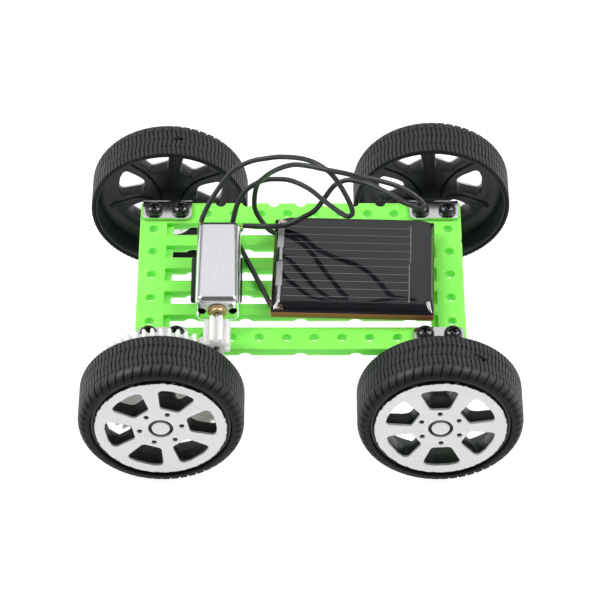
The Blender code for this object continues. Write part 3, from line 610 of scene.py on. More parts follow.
def sheet(outlines, thickness, bevel=0.0):
    """Flat outlines in XY, the first one outside and the rest holes, thickened about Z = 0."""
    curve = bpy.data.curves.new("sheet", "CURVE")
    curve.dimensions = "2D"
    curve.fill_mode = "BOTH"
    curve.extrude = thickness / 2 - bevel
    curve.bevel_depth = bevel
    curve.bevel_resolution = 2
    curve.offset = -bevel
    for outline in outlines:
        spline = curve.splines.new("POLY")
        spline.points.add(len(outline) - 1)
        for point, (x, y) in zip(spline.points, outline):
            point.co = (x, y, 0, 1)
        spline.use_cyclic_u = True
    mesh = baked(working(curve))
    shape = bmesh.new()
    shape.from_mesh(mesh)
    bmesh.ops.remove_doubles(shape, verts=shape.verts, dist=0.002 * MM)
    return to_mesh("sheet", shape)


def moved(mesh, matrix):
    mesh.transform(matrix)
    return mesh


ALONG_Y = Matrix.Rotation(math.pi / 2, 4, "X")


# Wires


def smooth_points(route, step):
    """Evenly spaced points on a smooth curve through the route's own points."""
    ends = [2 * route[0] - route[1]] + route + [2 * route[-1] - route[-2]]
    dense = []
    for before, start, end, after in zip(ends, ends[1:], ends[2:], ends[3:]):
        for number in range(30):
            t = number / 30
            bend = 2 * start + (end - before) * t
            bend += (2 * before - 5 * start + 4 * end - after) * t**2
            bend += (3 * start - before - 3 * end + after) * t**3
            dense.append(bend / 2)
    dense.append(route[-1])
    lengths = [0.0]
    for start, end in zip(dense, dense[1:]):
        lengths.append(lengths[-1] + (end - start).length)
    count = math.ceil(lengths[-1] / step)
    points = []
    reached = 0
    for number in range(count + 1):
        wanted = lengths[-1] * number / count
        while reached < len(dense) - 2 and lengths[reached + 1] < wanted:
            reached += 1
        part = (wanted - lengths[reached]) / (lengths[reached + 1] - lengths[reached])
        points.append(dense[reached].lerp(dense[reached + 1], part))
    return points, lengths[-1]


def tube(name, points, radius, resolution=5):
    curve = bpy.data.curves.new(name, "CURVE")
    curve.dimensions = "3D"
    curve.bevel_depth = radius
    curve.bevel_resolution = resolution
    curve.use_fill_caps = True
    spline = curve.splines.new("POLY")
    spline.points.add(len(points) - 1)
    for target, point in zip(spline.points, points):
        target.co = (*point, 1)
    return curve


WIRE_DIAMETER = 0.95 * MM

# Route points in metres, from the panel's back left corner to the motor's right terminal
BACK_WIRE_ROUTE = [
    (-0.0032, 0.0094, 0.0223),
    (-0.0055, 0.0102, 0.0225),
    (-0.0070, 0.0117, 0.0232),
    (-0.0084, 0.0131, 0.0250),
    (-0.0086, 0.0134, 0.0275),
    (-0.0081, 0.0136, 0.0310),
    (-0.0068, 0.0125, 0.0340),
    (-0.0045, 0.0094, 0.0390),
    (-0.0015, 0.0080, 0.0416),
    (0.0015, 0.0062, 0.0430),
    (0.0046, 0.0046, 0.0436),
    (0.0078, 0.0035, 0.0438),
    (0.0108, 0.0029, 0.0434),
    (0.0136, 0.0030, 0.0426),
    (0.0170, 0.0031, 0.0412),
    (0.0197, 0.0027, 0.0398),
    (0.0215, 0.0018, 0.0388),
    (0.0223, 0.0009, 0.0382),
    (0.0218, 0.0004, 0.0379),
    (0.0208, 0.0009, 0.0379),
    (0.0186, 0.0022, 0.0378),
    (0.0161, 0.0051, 0.0371),
    (0.0127, 0.0083, 0.0363),
    (0.0096, 0.0098, 0.0360),
    (0.0079, 0.0102, 0.0355),
    (0.0061, 0.0099, 0.0345),
    (0.0044, 0.0089, 0.0324),
    (0.0027, 0.0079, 0.0303),
    (0.0004, 0.0083, 0.0280),
    (-0.0027, 0.0080, 0.0263),
    (-0.0059, 0.0079, 0.0260),
    (-0.0086, 0.0084, 0.0256),
    (-0.0106, 0.0086, 0.0255),
]

# Route points in metres, from the motor's left terminal to the panel's front left corner
FRONT_WIRE_ROUTE = [
    (-0.0184, 0.0079, 0.0271),
    (-0.0178, 0.0092, 0.0282),
    (-0.0162, 0.0113, 0.0303),
    (-0.0132, 0.0141, 0.0335),
    (-0.0112, 0.0146, 0.0350),
    (-0.0090, 0.0146, 0.0363),
    (-0.0066, 0.0141, 0.0374),
    (-0.0038, 0.0136, 0.0383),
    (-0.0001, 0.0108, 0.0406),
    (0.0026, 0.0081, 0.0420),
    (0.0053, 0.0054, 0.0421),
    (0.0072, 0.0030, 0.0410),
    (0.0086, 0.0013, 0.0392),
    (0.0093, 0.0005, 0.0376),
    (0.0092, 0.0003, 0.0364),
    (0.0079, 0.0011, 0.0356),
    (0.0046, 0.0056, 0.0345),
    (0.0016, 0.0102, 0.0334),
    (-0.0016, 0.0131, 0.0327),
    (-0.0042, 0.0141, 0.0322),
    (-0.0071, 0.0149, 0.0310),
    (-0.0101, 0.0142, 0.0293),
    (-0.0117, 0.0124, 0.0275),
    (-0.0124, 0.0105, 0.0259),
    (-0.0127, 0.0094, 0.0242),
    (-0.0123, 0.0083, 0.0229),
    (-0.0113, 0.0064, 0.0223),
    (-0.0091, 0.0008, 0.0223),
    (-0.0071, -0.0044, 0.0223),
    (-0.0055, -0.0085, 0.0223),
    (-0.0043, -0.0104, 0.0223),
]


def make_wire(name, route, node):
    points, length = smooth_points([Vector(point) for point in route], 0.6 * WIRE_DIAMETER)
    curve = tube(name, points, WIRE_DIAMETER / 2)
    curve.materials.append(INSULATION)
    wire = working(curve)
    wire.name = name
    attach(wire, "chassis")
    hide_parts(node)


make_wire("wire_to_right_terminal", BACK_WIRE_ROUTE, "wire_panel_to_right_terminal")
make_wire("wire_from_left_terminal", FRONT_WIRE_ROUTE, "wire_left_terminal_to_panel")


# Chassis plate

PLATE_LOW, PLATE_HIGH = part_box("chassis_plate")
PLATE_SIZE = PLATE_HIGH - PLATE_LOW
HOLE_PITCH = PLATE_SIZE.x / 12
HOLE_RADIUS = 0.95 * MM
HOLE_ROW_Y = 16 * MM
SLOT_PITCH = 5.95 * MM
SLOT_LENGTH = PLATE_SIZE.x - 2 * HOLE_PITCH
SLOT_WIDTH = 3.2 * MM
SLOT_LEDGE = 1.2 * MM
SLOT_ROWS = (-2, -1, 0, 1, 2)
GROOVE_RADIUS = 1.5 * MM
GROOVE_DEPTH = 0.6 * MM


def plate_holes():
    places = []
    for side in SIDES.values():
        for step in range(-6, 6):
            places.append(((step + 0.5) * HOLE_PITCH, side * HOLE_ROW_Y))
        for row in SLOT_ROWS:
            places.append((side * 5.5 * HOLE_PITCH, row * SLOT_PITCH))
    return places


def plate_notches():
    places = [(step * HOLE_PITCH, PLATE_HIGH.y) for step in range(-3, 4)]
    for row in (-1.5, -0.5, 0.5, 1.5):
        places.append((PLATE_HIGH.x + 0.5 * HOLE_RADIUS, row * SLOT_PITCH))
    return places


def slot_boxes(length, low, high):
    half = SLOT_WIDTH / 2
    boxes = []
    for row in SLOT_ROWS:
        y = row * SLOT_PITCH
        boxes.append(box_between((-length / 2, y - half, low), (length / 2, y + half, high)))
    return meshes_together(boxes)


def make_plate():
    """The slotted plate, with rounded holes, soft edges and shallow grooves across its underside."""
    middle = (PLATE_LOW.z + PLATE_HIGH.z) / 2
    tall = 3 * PLATE_SIZE.z
    mesh = box_between(PLATE_LOW, PLATE_HIGH)
    mesh = cut(mesh, slot_boxes(SLOT_LENGTH - 2 * SLOT_LEDGE, middle - tall, middle + tall))
    mesh = cut(mesh, slot_boxes(SLOT_LENGTH, middle, middle + tall))
    grooves = [
        (step * 2 * HOLE_PITCH, 0, PLATE_LOW.z + GROOVE_DEPTH - GROOVE_RADIUS) for step in range(-2, 3)
    ]
    mesh = cut(mesh, rods_mesh(GROOVE_RADIUS, 2 * PLATE_SIZE.y, grooves, 40, ALONG_Y))
    holes = [(x, y, middle) for x, y in plate_holes()]
    mesh = cut(mesh, rods_mesh(HOLE_RADIUS, tall, holes, 28))
    notches = [(x, y, middle) for x, y in plate_notches()]
    mesh = cut(mesh, rods_mesh(HOLE_RADIUS, tall, notches, 28))
    mesh = softened(mesh, 0.14 * MM, 3, 30)
    add_piece("slotted_plate", mesh, GREEN, "chassis", ["chassis_plate"])


# Brackets and screws

BRACKET_BEND = 0.9 * MM
TAB_CORNER = 1.1 * MM
LEG_CORNER = 4 * MM
BRACKET_THICKNESS = 0.6 * MM
AXLE_BORE = 1.1 * MM
SCREW_HEAD = 1.4 * MM


def bracket_rows(length, half_width):
    """Distances along a flat bracket blank and its half width there, rounder at the leg's end."""
    rows = []
    for sine, cosine in quarter_turn(8):
        rows.append((TAB_CORNER * (1 - cosine), half_width - TAB_CORNER * (1 - sine)))
    straight = length - TAB_CORNER - LEG_CORNER
    for step in range(1, 30):
        rows.append((TAB_CORNER + straight * step / 30, half_width))
    for sine, cosine in reversed(quarter_turn(8)):
        rows.append((length - LEG_CORNER * (1 - cosine), half_width - LEG_CORNER * (1 - sine)))
    return rows


def make_bracket(side, end):
    """A folded steel strip: a tab on the plate, a bend over its edge and a leg with the axle's hole."""
    node = f"axle_bracket_{side}_{end}"
    sign = SIDES[side]
    low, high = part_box(node)
    thick = BRACKET_THICKNESS
    inner = min(abs(low.y), abs(high.y))
    outer = max(abs(low.y), abs(high.y)) - thick / 2
    top = high.z - thick / 2
    tab = outer - BRACKET_BEND - inner
    turn = BRACKET_BEND * math.pi / 2
    leg = top - BRACKET_BEND - low.z
    shape = bmesh.new()
    columns = 12
    rows = []
    middle_x = (low.x + high.x) / 2
    for along, half in bracket_rows(tab + turn + leg, (high.x - low.x) / 2):
        if along < tab:
            y, z = inner + along, top
        elif along < tab + turn:
            angle = (along - tab) / BRACKET_BEND
            y = inner + tab + BRACKET_BEND * math.sin(angle)
            z = top - BRACKET_BEND * (1 - math.cos(angle))
        else:
            y, z = outer, top - BRACKET_BEND - (along - tab - turn)
        row = []
        for column in range(columns + 1):
            x = middle_x + half * (2 * column / columns - 1)
            row.append(shape.verts.new((x, sign * y, z)))
        rows.append(row)
    for first, second in zip(rows, rows[1:]):
        for column in range(columns):
            shape.faces.new((first[column], first[column + 1], second[column + 1], second[column]))
    work = working(to_mesh("bracket", shape))
    thicken = work.modifiers.new("thicken", "SOLIDIFY")
    thicken.thickness = thick
    thicken.offset = 0
    mesh = baked(work)
    hole = (middle_x, sign * outer, AXLE_PLACE[end].z)
    mesh = cut(mesh, rods_mesh(AXLE_BORE, 4 * MM, [hole], 32, ALONG_Y))
    mesh = softened(mesh, 0.09 * MM, 2, 50)
    add_piece(f"bracket_{side}_{end}", mesh, SHEET_STEEL, "chassis", [node])


def screw_mesh(node):
    """Domed head with a cross recess, a threaded shank and a point. Z = 0 is under the head."""
    size = size_of(node)
    radius = size.x / 2
    height = SCREW_HEAD
    shank = 0.8 * MM
    length = size.z - height
    profile = [(0, height)]
    for sine, cosine in quarter_turn(8, 1, -1):
        profile.append((0.93 * radius * sine, height - 0.62 * height * (1 - cosine)))
    profile += [(0.985 * radius, 0.25 * height), (radius, 0.12 * height), (0.97 * radius, 0), (shank, 0)]
    threads = 8
    for step in range(threads):
        z = -0.4 * MM - step * (length - 1.6 * MM) / threads
        profile += [(0.72 * shank, z - 0.1 * MM), (shank, z - 0.25 * MM), (0.72 * shank, z - 0.4 * MM)]
    profile.append((0, -length))
    mesh = turned("screw", profile, 48)
    recess_depth = 0.95 * height
    arms = []
    for turn in (0, math.pi / 2):
        shape = bmesh.new()
        bmesh.ops.create_cube(shape, size=1)
        for corner in shape.verts:
            top = corner.co.z > 0
            corner.co.x *= 1.9 * MM if top else 1.0 * MM
            corner.co.y *= 0.5 * MM if top else 0.36 * MM
            corner.co.z = height + 0.1 * MM if top else height - recess_depth
        arms.append(moved(to_mesh("arm", shape), Matrix.Rotation(turn, 4, "Z")))
    recess = softened(joined(*arms), 0.06 * MM, 2)
    return softened(cut(mesh, recess), 0.04 * MM, 2, 40)


def make_screws():
    mesh = screw_mesh("screw_near_left_1")
    turns = iter((20, 63, 8, 41, 75, 30, 52, 12))
    for end in ENDS:
        for side in SIDES:
            for number in (1, 2):
                node = f"screw_{side}_{end}_{number}"
                under_head = middle_of(node)
                under_head.z += size_of(node).z / 2 - SCREW_HEAD
                place = Matrix.Translation(under_head) @ Matrix.Rotation(math.radians(next(turns)), 4, "Z")
                name = f"cross_screw_{side}_{end}_{number}"
                add_piece(name, mesh.copy(), BLACK_STEEL, "chassis", [node], place)


def make_axles():
    """Steel rods with a small chamfer on each end."""
    for end in ENDS:
        node = f"axle_{end}"
        radius = size_of(node).x / 2
        half = size_of(node).y / 2
        edge = 0.25 * MM
        profile = [(0, half), (radius - edge, half), (radius, half - edge)]
        profile += [(radius, edge - half), (radius - edge, -half), (0, -half)]
        mesh = turned("axle", profile, 40)
        place = Matrix.Translation(middle_of(node)) @ ALONG_Y
        add_piece(f"axle_rod_{end}", mesh, ROD_STEEL, AXLE_BODY[end], [node], place)


make_plate()
for bracket_end in ENDS:
    for bracket_side in SIDES:
        make_bracket(bracket_side, bracket_end)
make_screws()
make_axles()


# Wheels, built about their own axis along Z with the outer face up

# How far each wheel is turned about its own outward axis at rest, in degrees
WHEEL_TURN = {
    ("left", "near"): -19.5,
    ("right", "near"): 3,
    ("left", "far"): 39,
    ("right", "far"): 25,
}
TYRE_BORE = 12.7 * MM
SHOULDER = 1.8 * MM
TREAD_BORE = 14.3 * MM
BEAD_STEP = 1.7 * MM
TREAD_PITCHES = 108
SLASH_EVERY = 2
PIT_ROW = 2.1 * MM
WINDOWS = 6
CAP_RADIUS = 11.9 * MM
CAP_THICKNESS = 0.5 * MM


def tyre_rows(radius, half):
    """Rows round the tyre's section from the outer bore edge, as (radius, z, twist, tread, slash).

    Twist is how far the grooves have run round the wheel by that row, in pitches. Tread and slash say how
    much of each kind of groove the row has.
    """
    flat = half - SHOULDER
    face = radius - SHOULDER
    rows = [(TYRE_BORE, half - 0.2 * MM, 0, 0, 0), (TYRE_BORE + 0.2 * MM, half, 0, 0, 0)]
    steps = 12
    for step in range(steps + 1):
        angle = math.pi / 2 * (1 - step / steps)
        out = 1 - step / steps
        slash = min(1, max(0, 3.2 * (0.93 - out)))
        ring, z = face + SHOULDER * math.cos(angle), flat + SHOULDER * math.sin(angle)
        rows.append((ring, z, 0.9 * out, 0, slash))
    back = 0.2 * MM - half
    count = 36
    for step in range(1, count + 1):
        z = flat + (back - flat) * step / count
        wave = 0.3 * abs((z / PIT_ROW) % 2 - 1)
        blend = min(1, (flat - z) / (0.5 * MM))
        slash = max(0, 1 - (flat - z) / (0.3 * MM))
        rows.append((radius, z, wave * blend, blend, slash))
    wave = rows[-1][2]
    rows += [(radius - 0.12 * MM, back - 0.12 * MM, wave, 0.5, 0), (radius - 0.3 * MM, -half, wave, 0, 0)]
    rows += [(TREAD_BORE + 0.06 * MM, -half, wave, 0, 0), (TREAD_BORE, 0.06 * MM - half, wave, 0, 0)]
    rows += [(TREAD_BORE, BEAD_STEP, 0, 0, 0), (TYRE_BORE, BEAD_STEP, 0, 0, 0)]
    return rows


def groove(distance, floor, wall):
    """1 within `floor` of a groove's middle and 0 past `wall`."""
    return np.clip((wall - np.abs(distance)) / (wall - floor), 0, 1)


def tyre_mesh(node):
    """A ring whose grid lines follow the grooves, so that their edges stay crisp."""
    size = size_of(node)
    radius = size.x / 2
    rows = np.array(tyre_rows(radius, size.y / 2))
    ring, height, twist, tread, slash = (rows[None, :, column] for column in range(5))
    columns = np.array((-0.5, -0.36, -0.25, -0.17, -0.1, -0.04, 0.04, 0.1, 0.17, 0.25, 0.36))
    across = np.tile(columns, TREAD_PITCHES)[:, None]
    pitch = np.repeat(np.arange(TREAD_PITCHES), len(columns))[:, None]
    turn = (pitch + across + twist) * math.tau / TREAD_PITCHES
    depth = 0.28 * MM * groove(across, 0.04, 0.17) * tread
    lug = 0.32 * MM * groove(across, 0.04, 0.25)
    depth = np.maximum(depth, lug * slash * (pitch % SLASH_EVERY == 0))
    width = across * math.tau * radius / TREAD_PITCHES
    for row in (-PIT_ROW, 0, PIT_ROW):
        reach = np.hypot(width, height - row)
        depth = np.maximum(depth, 0.5 * MM * groove(reach, 0.16 * MM, 0.3 * MM) * tread)
    lean = np.clip((height - (size.y / 2 - SHOULDER)) / SHOULDER, 0, 1)
    ring = ring - depth * np.sqrt(1 - lean**2)
    height = height - depth * lean
    spots = np.stack((ring * np.cos(turn), ring * np.sin(turn), height + 0 * turn), axis=2)
    steps, count = spots.shape[:2]
    index = np.arange(steps * count).reshape(steps, count)
    after = np.roll(index, -1, axis=0)
    faces = np.stack((index, after, np.roll(after, -1, axis=1), np.roll(index, -1, axis=1)), axis=2)
    mesh = bpy.data.meshes.new("tyre")
    mesh.from_pydata(spots.reshape(-1, 3).tolist(), [], faces.reshape(-1, 4).tolist())
    mesh.validate()
    shape = bmesh.new()
    shape.from_mesh(mesh)
    return to_mesh("tyre", shape)


def window_outline(grow=0.0):
    """A wedge-shaped window on +X with rounded corners and a bowed outer edge."""
    inner, outer = 5 * MM - grow, 9.95 * MM + grow
    near, far = 1.75 * MM + grow, 3.6 * MM + grow
    corners = [(inner, -near), (outer - 0.55 * MM, -far), (outer, -0.4 * far)]
    corners += [(outer, 0.4 * far), (outer - 0.55 * MM, far), (inner, near)]
    return rounded_corners(corners, 0.85 * MM, 6)


def turned_outline(outline, angle):
    cosine, sine = math.cos(angle), math.sin(angle)
    return [(x * cosine - y * sine, x * sine + y * cosine) for x, y in outline]


def window_angles():
    return [math.pi / 2 + math.tau * number / WINDOWS for number in range(WINDOWS)]


def cap_mesh():
    """The silver disc: windows, small round holes, and a button left inside a ring-shaped slot."""
    outlines = [circle(0, 0, CAP_RADIUS, 160)]
    for angle in window_angles():
        outlines.append(turned_outline(window_outline(), angle))
        hole_x, hole_y = 3.85 * MM * math.cos(angle), 3.85 * MM * math.sin(angle)
        outlines.append(circle(hole_x, hole_y, 0.48 * MM, 24))
    outlines.append(circle(0, 0, 2.25 * MM, 64))
    disc = sheet(outlines, CAP_THICKNESS, 0.07 * MM)
    button = sheet([circle(0, 0, 1.62 * MM, 48)], CAP_THICKNESS, 0.07 * MM)
    return meshes_together([disc, button])


HUB_RADIUS = 2.5 * MM
HUB_FLARE = 5.2 * MM
HUB_DROP = 4.6 * MM
WEB_THICKNESS = 2.2 * MM


def rim_blank(half, recess):
    """The rim without windows: a web that swells towards the hub tube, and a wide barrel behind it."""
    bead = TYRE_BORE - 0.1 * MM
    barrel_out = TREAD_BORE - 0.1 * MM
    barrel_in = barrel_out - 0.5 * MM
    lip = CAP_RADIUS + 0.15 * MM
    step_z = BEAD_STEP - 0.1 * MM
    bore = AXLE_BORE
    web_back = recess - WEB_THICKNESS
    bore_end = recess - 0.6 * MM
    soft = 0.1 * MM
    edge = half - 0.3 * MM
    profile = [(0, recess), (lip, recess), (lip, edge - soft), (lip + soft, edge)]
    profile += [(bead - soft, edge), (bead, edge - soft), (bead, step_z), (barrel_out - soft, step_z)]
    profile += [(barrel_out, step_z - soft), (barrel_out, soft - half), (barrel_out - soft, -half)]
    profile += [(barrel_in + 0.25 * MM, -half), (barrel_in, 0.4 * MM - half)]
    fillet = 2.4 * MM
    for sine, cosine in quarter_turn(9):
        profile.append((barrel_in - fillet * (1 - cosine), web_back - 0.75 * fillet * (1 - sine)))
    for sine, cosine in quarter_turn(12, 1):
        profile.append((HUB_RADIUS + HUB_FLARE * (1 - sine), web_back - HUB_DROP * (1 - cosine)))
    profile += [(HUB_RADIUS - 0.1 * MM, soft - half), (HUB_RADIUS - 0.2 * MM, -half), (bore + soft, -half)]
    profile += [(bore, soft - half), (bore, bore_end), (0, bore_end)]
    return turned("rim", profile, 144)


def rim_ribs(half, recess):
    """A low rib down the back of each spoke, following the web's swell from the barrel to the hub tube."""
    web_back = recess - WEB_THICKNESS
    thick = 0.8 * MM
    proud = 0.3 * MM
    side = [(1.7 * MM, web_back + 1 * MM), (13 * MM, web_back + 0.2 * MM), (12.6 * MM, web_back - proud)]
    for sine, cosine in quarter_turn(12, 0, -2):
        side.append((HUB_RADIUS + proud + HUB_FLARE * (1 - sine), web_back - proud - HUB_DROP * (1 - cosine)))
    side += [(HUB_RADIUS + 0.1 * MM, 0.5 * MM - half), (1.7 * MM, 0.5 * MM - half)]
    loops = [[(x, sign * thick / 2, z) for x, z in side] for sign in (-1, 1)]
    ribs = []
    for angle in window_angles():
        ribs.append(moved(loops_mesh("rib", loops), Matrix.Rotation(angle + math.pi / WINDOWS, 4, "Z")))
    return ribs


def rim_mesh(node):
    half = size_of(node).y / 2
    recess = half + 0.1 * MM - CAP_THICKNESS
    mesh = rim_blank(half, recess)
    for rib in rim_ribs(half, recess):
        mesh = joined(mesh, rib)
    windows = []
    for angle in window_angles():
        outline = turned_outline(window_outline(-0.06 * MM), angle)
        windows.append(sheet([outline], 4 * half))
    mesh = cut(mesh, meshes_together(windows))
    return softened(mesh, 0.12 * MM, 2, 45)


def make_wheels():
    tyre = tyre_mesh("tyre_near_left")
    rim = rim_mesh("rim_near_left")
    disc = cap_mesh()
    for end in ENDS:
        for side, sign in SIDES.items():
            body = AXLE_BODY[end]
            which = f"{side}_{end}"
            centre = on_axis(f"tyre_{which}", AXLE_PLACE[end])
            face_out = Matrix.Translation(centre) @ Matrix.Rotation(-sign * math.pi / 2, 4, "X")
            turn = face_out @ Matrix.Rotation(math.radians(WHEEL_TURN[end, side]), 4, "Z")
            half = size_of(f"tyre_{which}").y / 2
            on_face = turn @ Matrix.Translation((0, 0, half - CAP_THICKNESS / 2))
            for name, mesh, material, slot, node, place, sharp in (
                ("treaded_tyre", tyre, RUBBER, "tyre_rubber", "tyre", turn, 50),
                ("spoked_rim", rim, BLACK, "black_plastic", "rim", turn, 35),
                ("face_disc", disc, SILVER, "silver_plastic", "wheel_cap", on_face, 35),
            ):
                nodes = [f"{node}_{which}"]
                add_piece(f"{name}_{which}", mesh.copy(), material, body, nodes, place, sharp)


def make_moulding_marks():
    """A torn lump of rubber left on the tread of two tyres where their moulds were filled."""
    for which, body, angle, z, length in (
        ("far_left", "drive_axle", 7, 0.0, 2.1),
        ("near_right", "free_axle", 27, -0.7, 3.0),
    ):
        side, end = which.split("_")
        centre = on_axis(f"tyre_{which}", AXLE_PLACE[end])
        radius = size_of(f"tyre_{which}").x / 2
        points = []
        for step in range(13):
            part = step / 12 - 0.5
            around = math.radians(angle) + part * length * MM / radius
            rise = radius - 0.02 * MM + 0.1 * MM * math.sin(7 * part)
            y = SIDES[side] * (z + 0.25 * math.sin(5 * part)) * MM
            points.append(centre + Vector((rise * math.sin(around), y, rise * math.cos(around))))
        middle = points[6]
        curve = tube("mark", [point - middle for point in points], 0.36 * MM, 4)
        for number, point in enumerate(curve.splines[0].points):
            point.radius = 0.25 + math.sin(math.pi * number / 12) * (0.8 + 0.3 * math.sin(2.7 * number))
        mesh = baked(working(curve))
        place = Matrix.Translation(middle)
        add_piece(f"moulding_mark_{which}", mesh, RUBBER, body, (), place, 60)


make_wheels()
make_moulding_marks()


# Gears

GEAR_MODULE = 0.5 * MM
PINION_TEETH = 8
GEAR_TEETH = round(PINION_TEETH * GEAR_RATIO)
PROFILE_SHIFT = 0.5
PRESSURE_ANGLE = math.radians(20)
BACKLASH = 0.1 * MM
TO_SHAFT = SHAFT_PLACE - AXLE_PLACE["left"]
MESH_DIRECTION = math.atan2(TO_SHAFT.z, TO_SHAFT.x)


def involute(angle):
    return math.tan(angle) - angle


def gear_outline(teeth, shift, tip_radius, flank_steps, first_tooth):
    """Outline of a spur gear with involute flanks. The middle of one tooth is at first_tooth."""
    pitch_radius = GEAR_MODULE * teeth / 2
    base_radius = pitch_radius * math.cos(PRESSURE_ANGLE)
    root_radius = pitch_radius - GEAR_MODULE * (1.25 - shift)
    half_tooth = (math.pi / 2 + 2 * shift * math.tan(PRESSURE_ANGLE)) / teeth
    half_tooth -= BACKLASH / 2 / (2 * pitch_radius)
    flank = [(root_radius, half_tooth + involute(PRESSURE_ANGLE))]
    for step in range(flank_steps + 1):
        radius = base_radius + (tip_radius - base_radius) * step / flank_steps
        roll = math.acos(base_radius / radius)
        flank.append((radius, half_tooth + involute(PRESSURE_ANGLE) - involute(roll)))
    outline = []
    for tooth in range(teeth):
        middle = first_tooth + math.tau * tooth / teeth
        for radius, angle in flank:
            outline.append((radius * math.cos(middle - angle), radius * math.sin(middle - angle)))
        for radius, angle in reversed(flank):
            outline.append((radius * math.cos(middle + angle), radius * math.sin(middle + angle)))
    return outline


def make_drive_gear():
    """The spur gear on the left axle: toothed rim, thinner web and a hub collar."""
    node = "drive_gear"
    width = size_of(node).y
    tip_radius = GEAR_MODULE * (GEAR_TEETH / 2 + 1 - PROFILE_SHIFT)
    outline = gear_outline(GEAR_TEETH, -PROFILE_SHIFT, tip_radius, 4, MESH_DIRECTION)
    mesh = sheet([outline], width)
    rim_inner = tip_radius - 2.6 * MM
    hub = 2.4 * MM
    recess = 0.7 * MM
    for sign in (-1, 1):
        face = sign * width / 2
        ring = [(hub, face - sign * recess), (rim_inner, face - sign * recess)]
        ring += [(rim_inner, face + sign * recess), (hub, face + sign * recess)]
        mesh = cut(mesh, turned("ring", ring, 96))
    mesh = cut(mesh, rods_mesh(AXLE_BORE, 4 * width, [(0, 0, 0)], 40))
    mesh = softened(mesh, 0.06 * MM, 2, 35)
    place = Matrix.Translation(on_axis(node, AXLE_PLACE["left"])) @ ALONG_Y
    add_piece("spur_gear", mesh, WHITE, "drive_axle", [node], place)


def make_pinion():
    """The motor's pinion, with a gap between two teeth pointing at the spur gear."""
    node = "motor_pinion"
    width = size_of(node).y
    first_tooth = MESH_DIRECTION + math.pi * (1 + 1 / PINION_TEETH)
    outline = gear_outline(PINION_TEETH, PROFILE_SHIFT, 2.5 * MM, 8, first_tooth)
    mesh = sheet([outline], width)
    mesh = cut(mesh, rods_mesh(0.6 * MM, 4 * width, [(0, 0, 0)], 32))
    mesh = softened(mesh, 0.07 * MM, 2, 35)
    place = Matrix.Translation(on_axis(node, SHAFT_PLACE)) @ ALONG_Y
    add_piece("shaft_pinion", mesh, WHITE, "motor_rotor", [node], place)


make_drive_gear()
make_pinion()


# Motor, built with its shaft along Z and its front face up

CAN_LOW, CAN_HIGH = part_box("motor_can")
CAN_SIZE = CAN_HIGH - CAN_LOW
CAN_CORNER = 1.4 * MM
CAN_WALL = 0.4 * MM
CAN_EDGE = 1.25 * MM
FACE_HOLE_X = 2.8 * MM
FACE_HOLE_RADIUS = 0.75 * MM
SHAFT_RADIUS = 0.5 * MM


def on_shaft(y):
    """A place on the motor's shaft line, with local +Z towards the motor's front."""
    return Matrix.Translation((SHAFT_PLACE.x, y, SHAFT_PLACE.z)) @ ALONG_Y


def lofted_box(width, height, corner, rows):
    """A rounded box through rows of (z, distance in from the full outline)."""
    loops = []
    for z, inset in rows:
        radius = max(corner - inset, 0.12 * MM)
        outline = rounded_rectangle(width - 2 * inset, height - 2 * inset, radius, 8)
        loops.append([(x, y, z) for x, y in outline])
    return loops_mesh("rounded_box", loops)


def rounded_rows(low, high, low_edge, high_edge, steps=6):
    """Rows for lofted_box, with a rounded edge at each end."""
    turn = quarter_turn(steps)
    rows = [(low + low_edge * (1 - cosine), low_edge * (1 - sine)) for sine, cosine in turn]
    rows += [(high - high_edge * (1 - sine), high_edge * (1 - cosine)) for sine, cosine in turn]
    return rows


def make_can():
    """The drawn steel can, with a rounded front edge, two screw holes and the bearing's hole."""
    half = CAN_SIZE.y / 2
    mesh = lofted_box(CAN_SIZE.x, CAN_SIZE.z, CAN_CORNER, rounded_rows(-half, half, 0.08 * MM, CAN_EDGE))
    hollow_rows = [(-2 * half, CAN_WALL), (half - CAN_EDGE, CAN_WALL), (half - CAN_WALL, 2 * CAN_WALL)]
    mesh = cut(mesh, lofted_box(CAN_SIZE.x, CAN_SIZE.z, CAN_CORNER, hollow_rows))
    holes = [(side * FACE_HOLE_X, 0, half) for side in (-1, 1)]
    mesh = cut(mesh, rods_mesh(FACE_HOLE_RADIUS, 2 * MM, holes, 32))
    mesh = cut(mesh, rods_mesh(1.1 * MM, 2 * MM, [(0, 0, half)], 32))
    place = on_shaft((CAN_LOW.y + CAN_HIGH.y) / 2)
    add_piece("steel_can", mesh, CAN_STEEL, "chassis", ["motor_can"], place, 40)


def make_front_bush():
    """The brass bearing: a stepped boss on the can's face and a neck through it."""
    low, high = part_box("motor_front_bush")
    radius = (high.x - low.x) / 2
    out = CAN_LOW.y - low.y
    back = CAN_LOW.y - high.y
    bore = SHAFT_RADIUS + 0.05 * MM
    profile = [(bore + 0.12 * MM, out), (0.7 * radius, out), (0.76 * radius, out - 0.08 * MM)]
    profile += [(0.8 * radius, 0.52 * out), (0.96 * radius, 0.46 * out), (radius, 0.38 * out)]
    profile += [(radius, 0.12 * MM), (1 * MM, 0.1 * MM), (1 * MM, back), (bore, back)]
    profile.append((bore, out - 0.12 * MM))
    mesh = turned("bush", profile, 56)
    add_piece("brass_bush", mesh, BRASS, "chassis", ["motor_front_bush"], on_shaft(CAN_LOW.y))


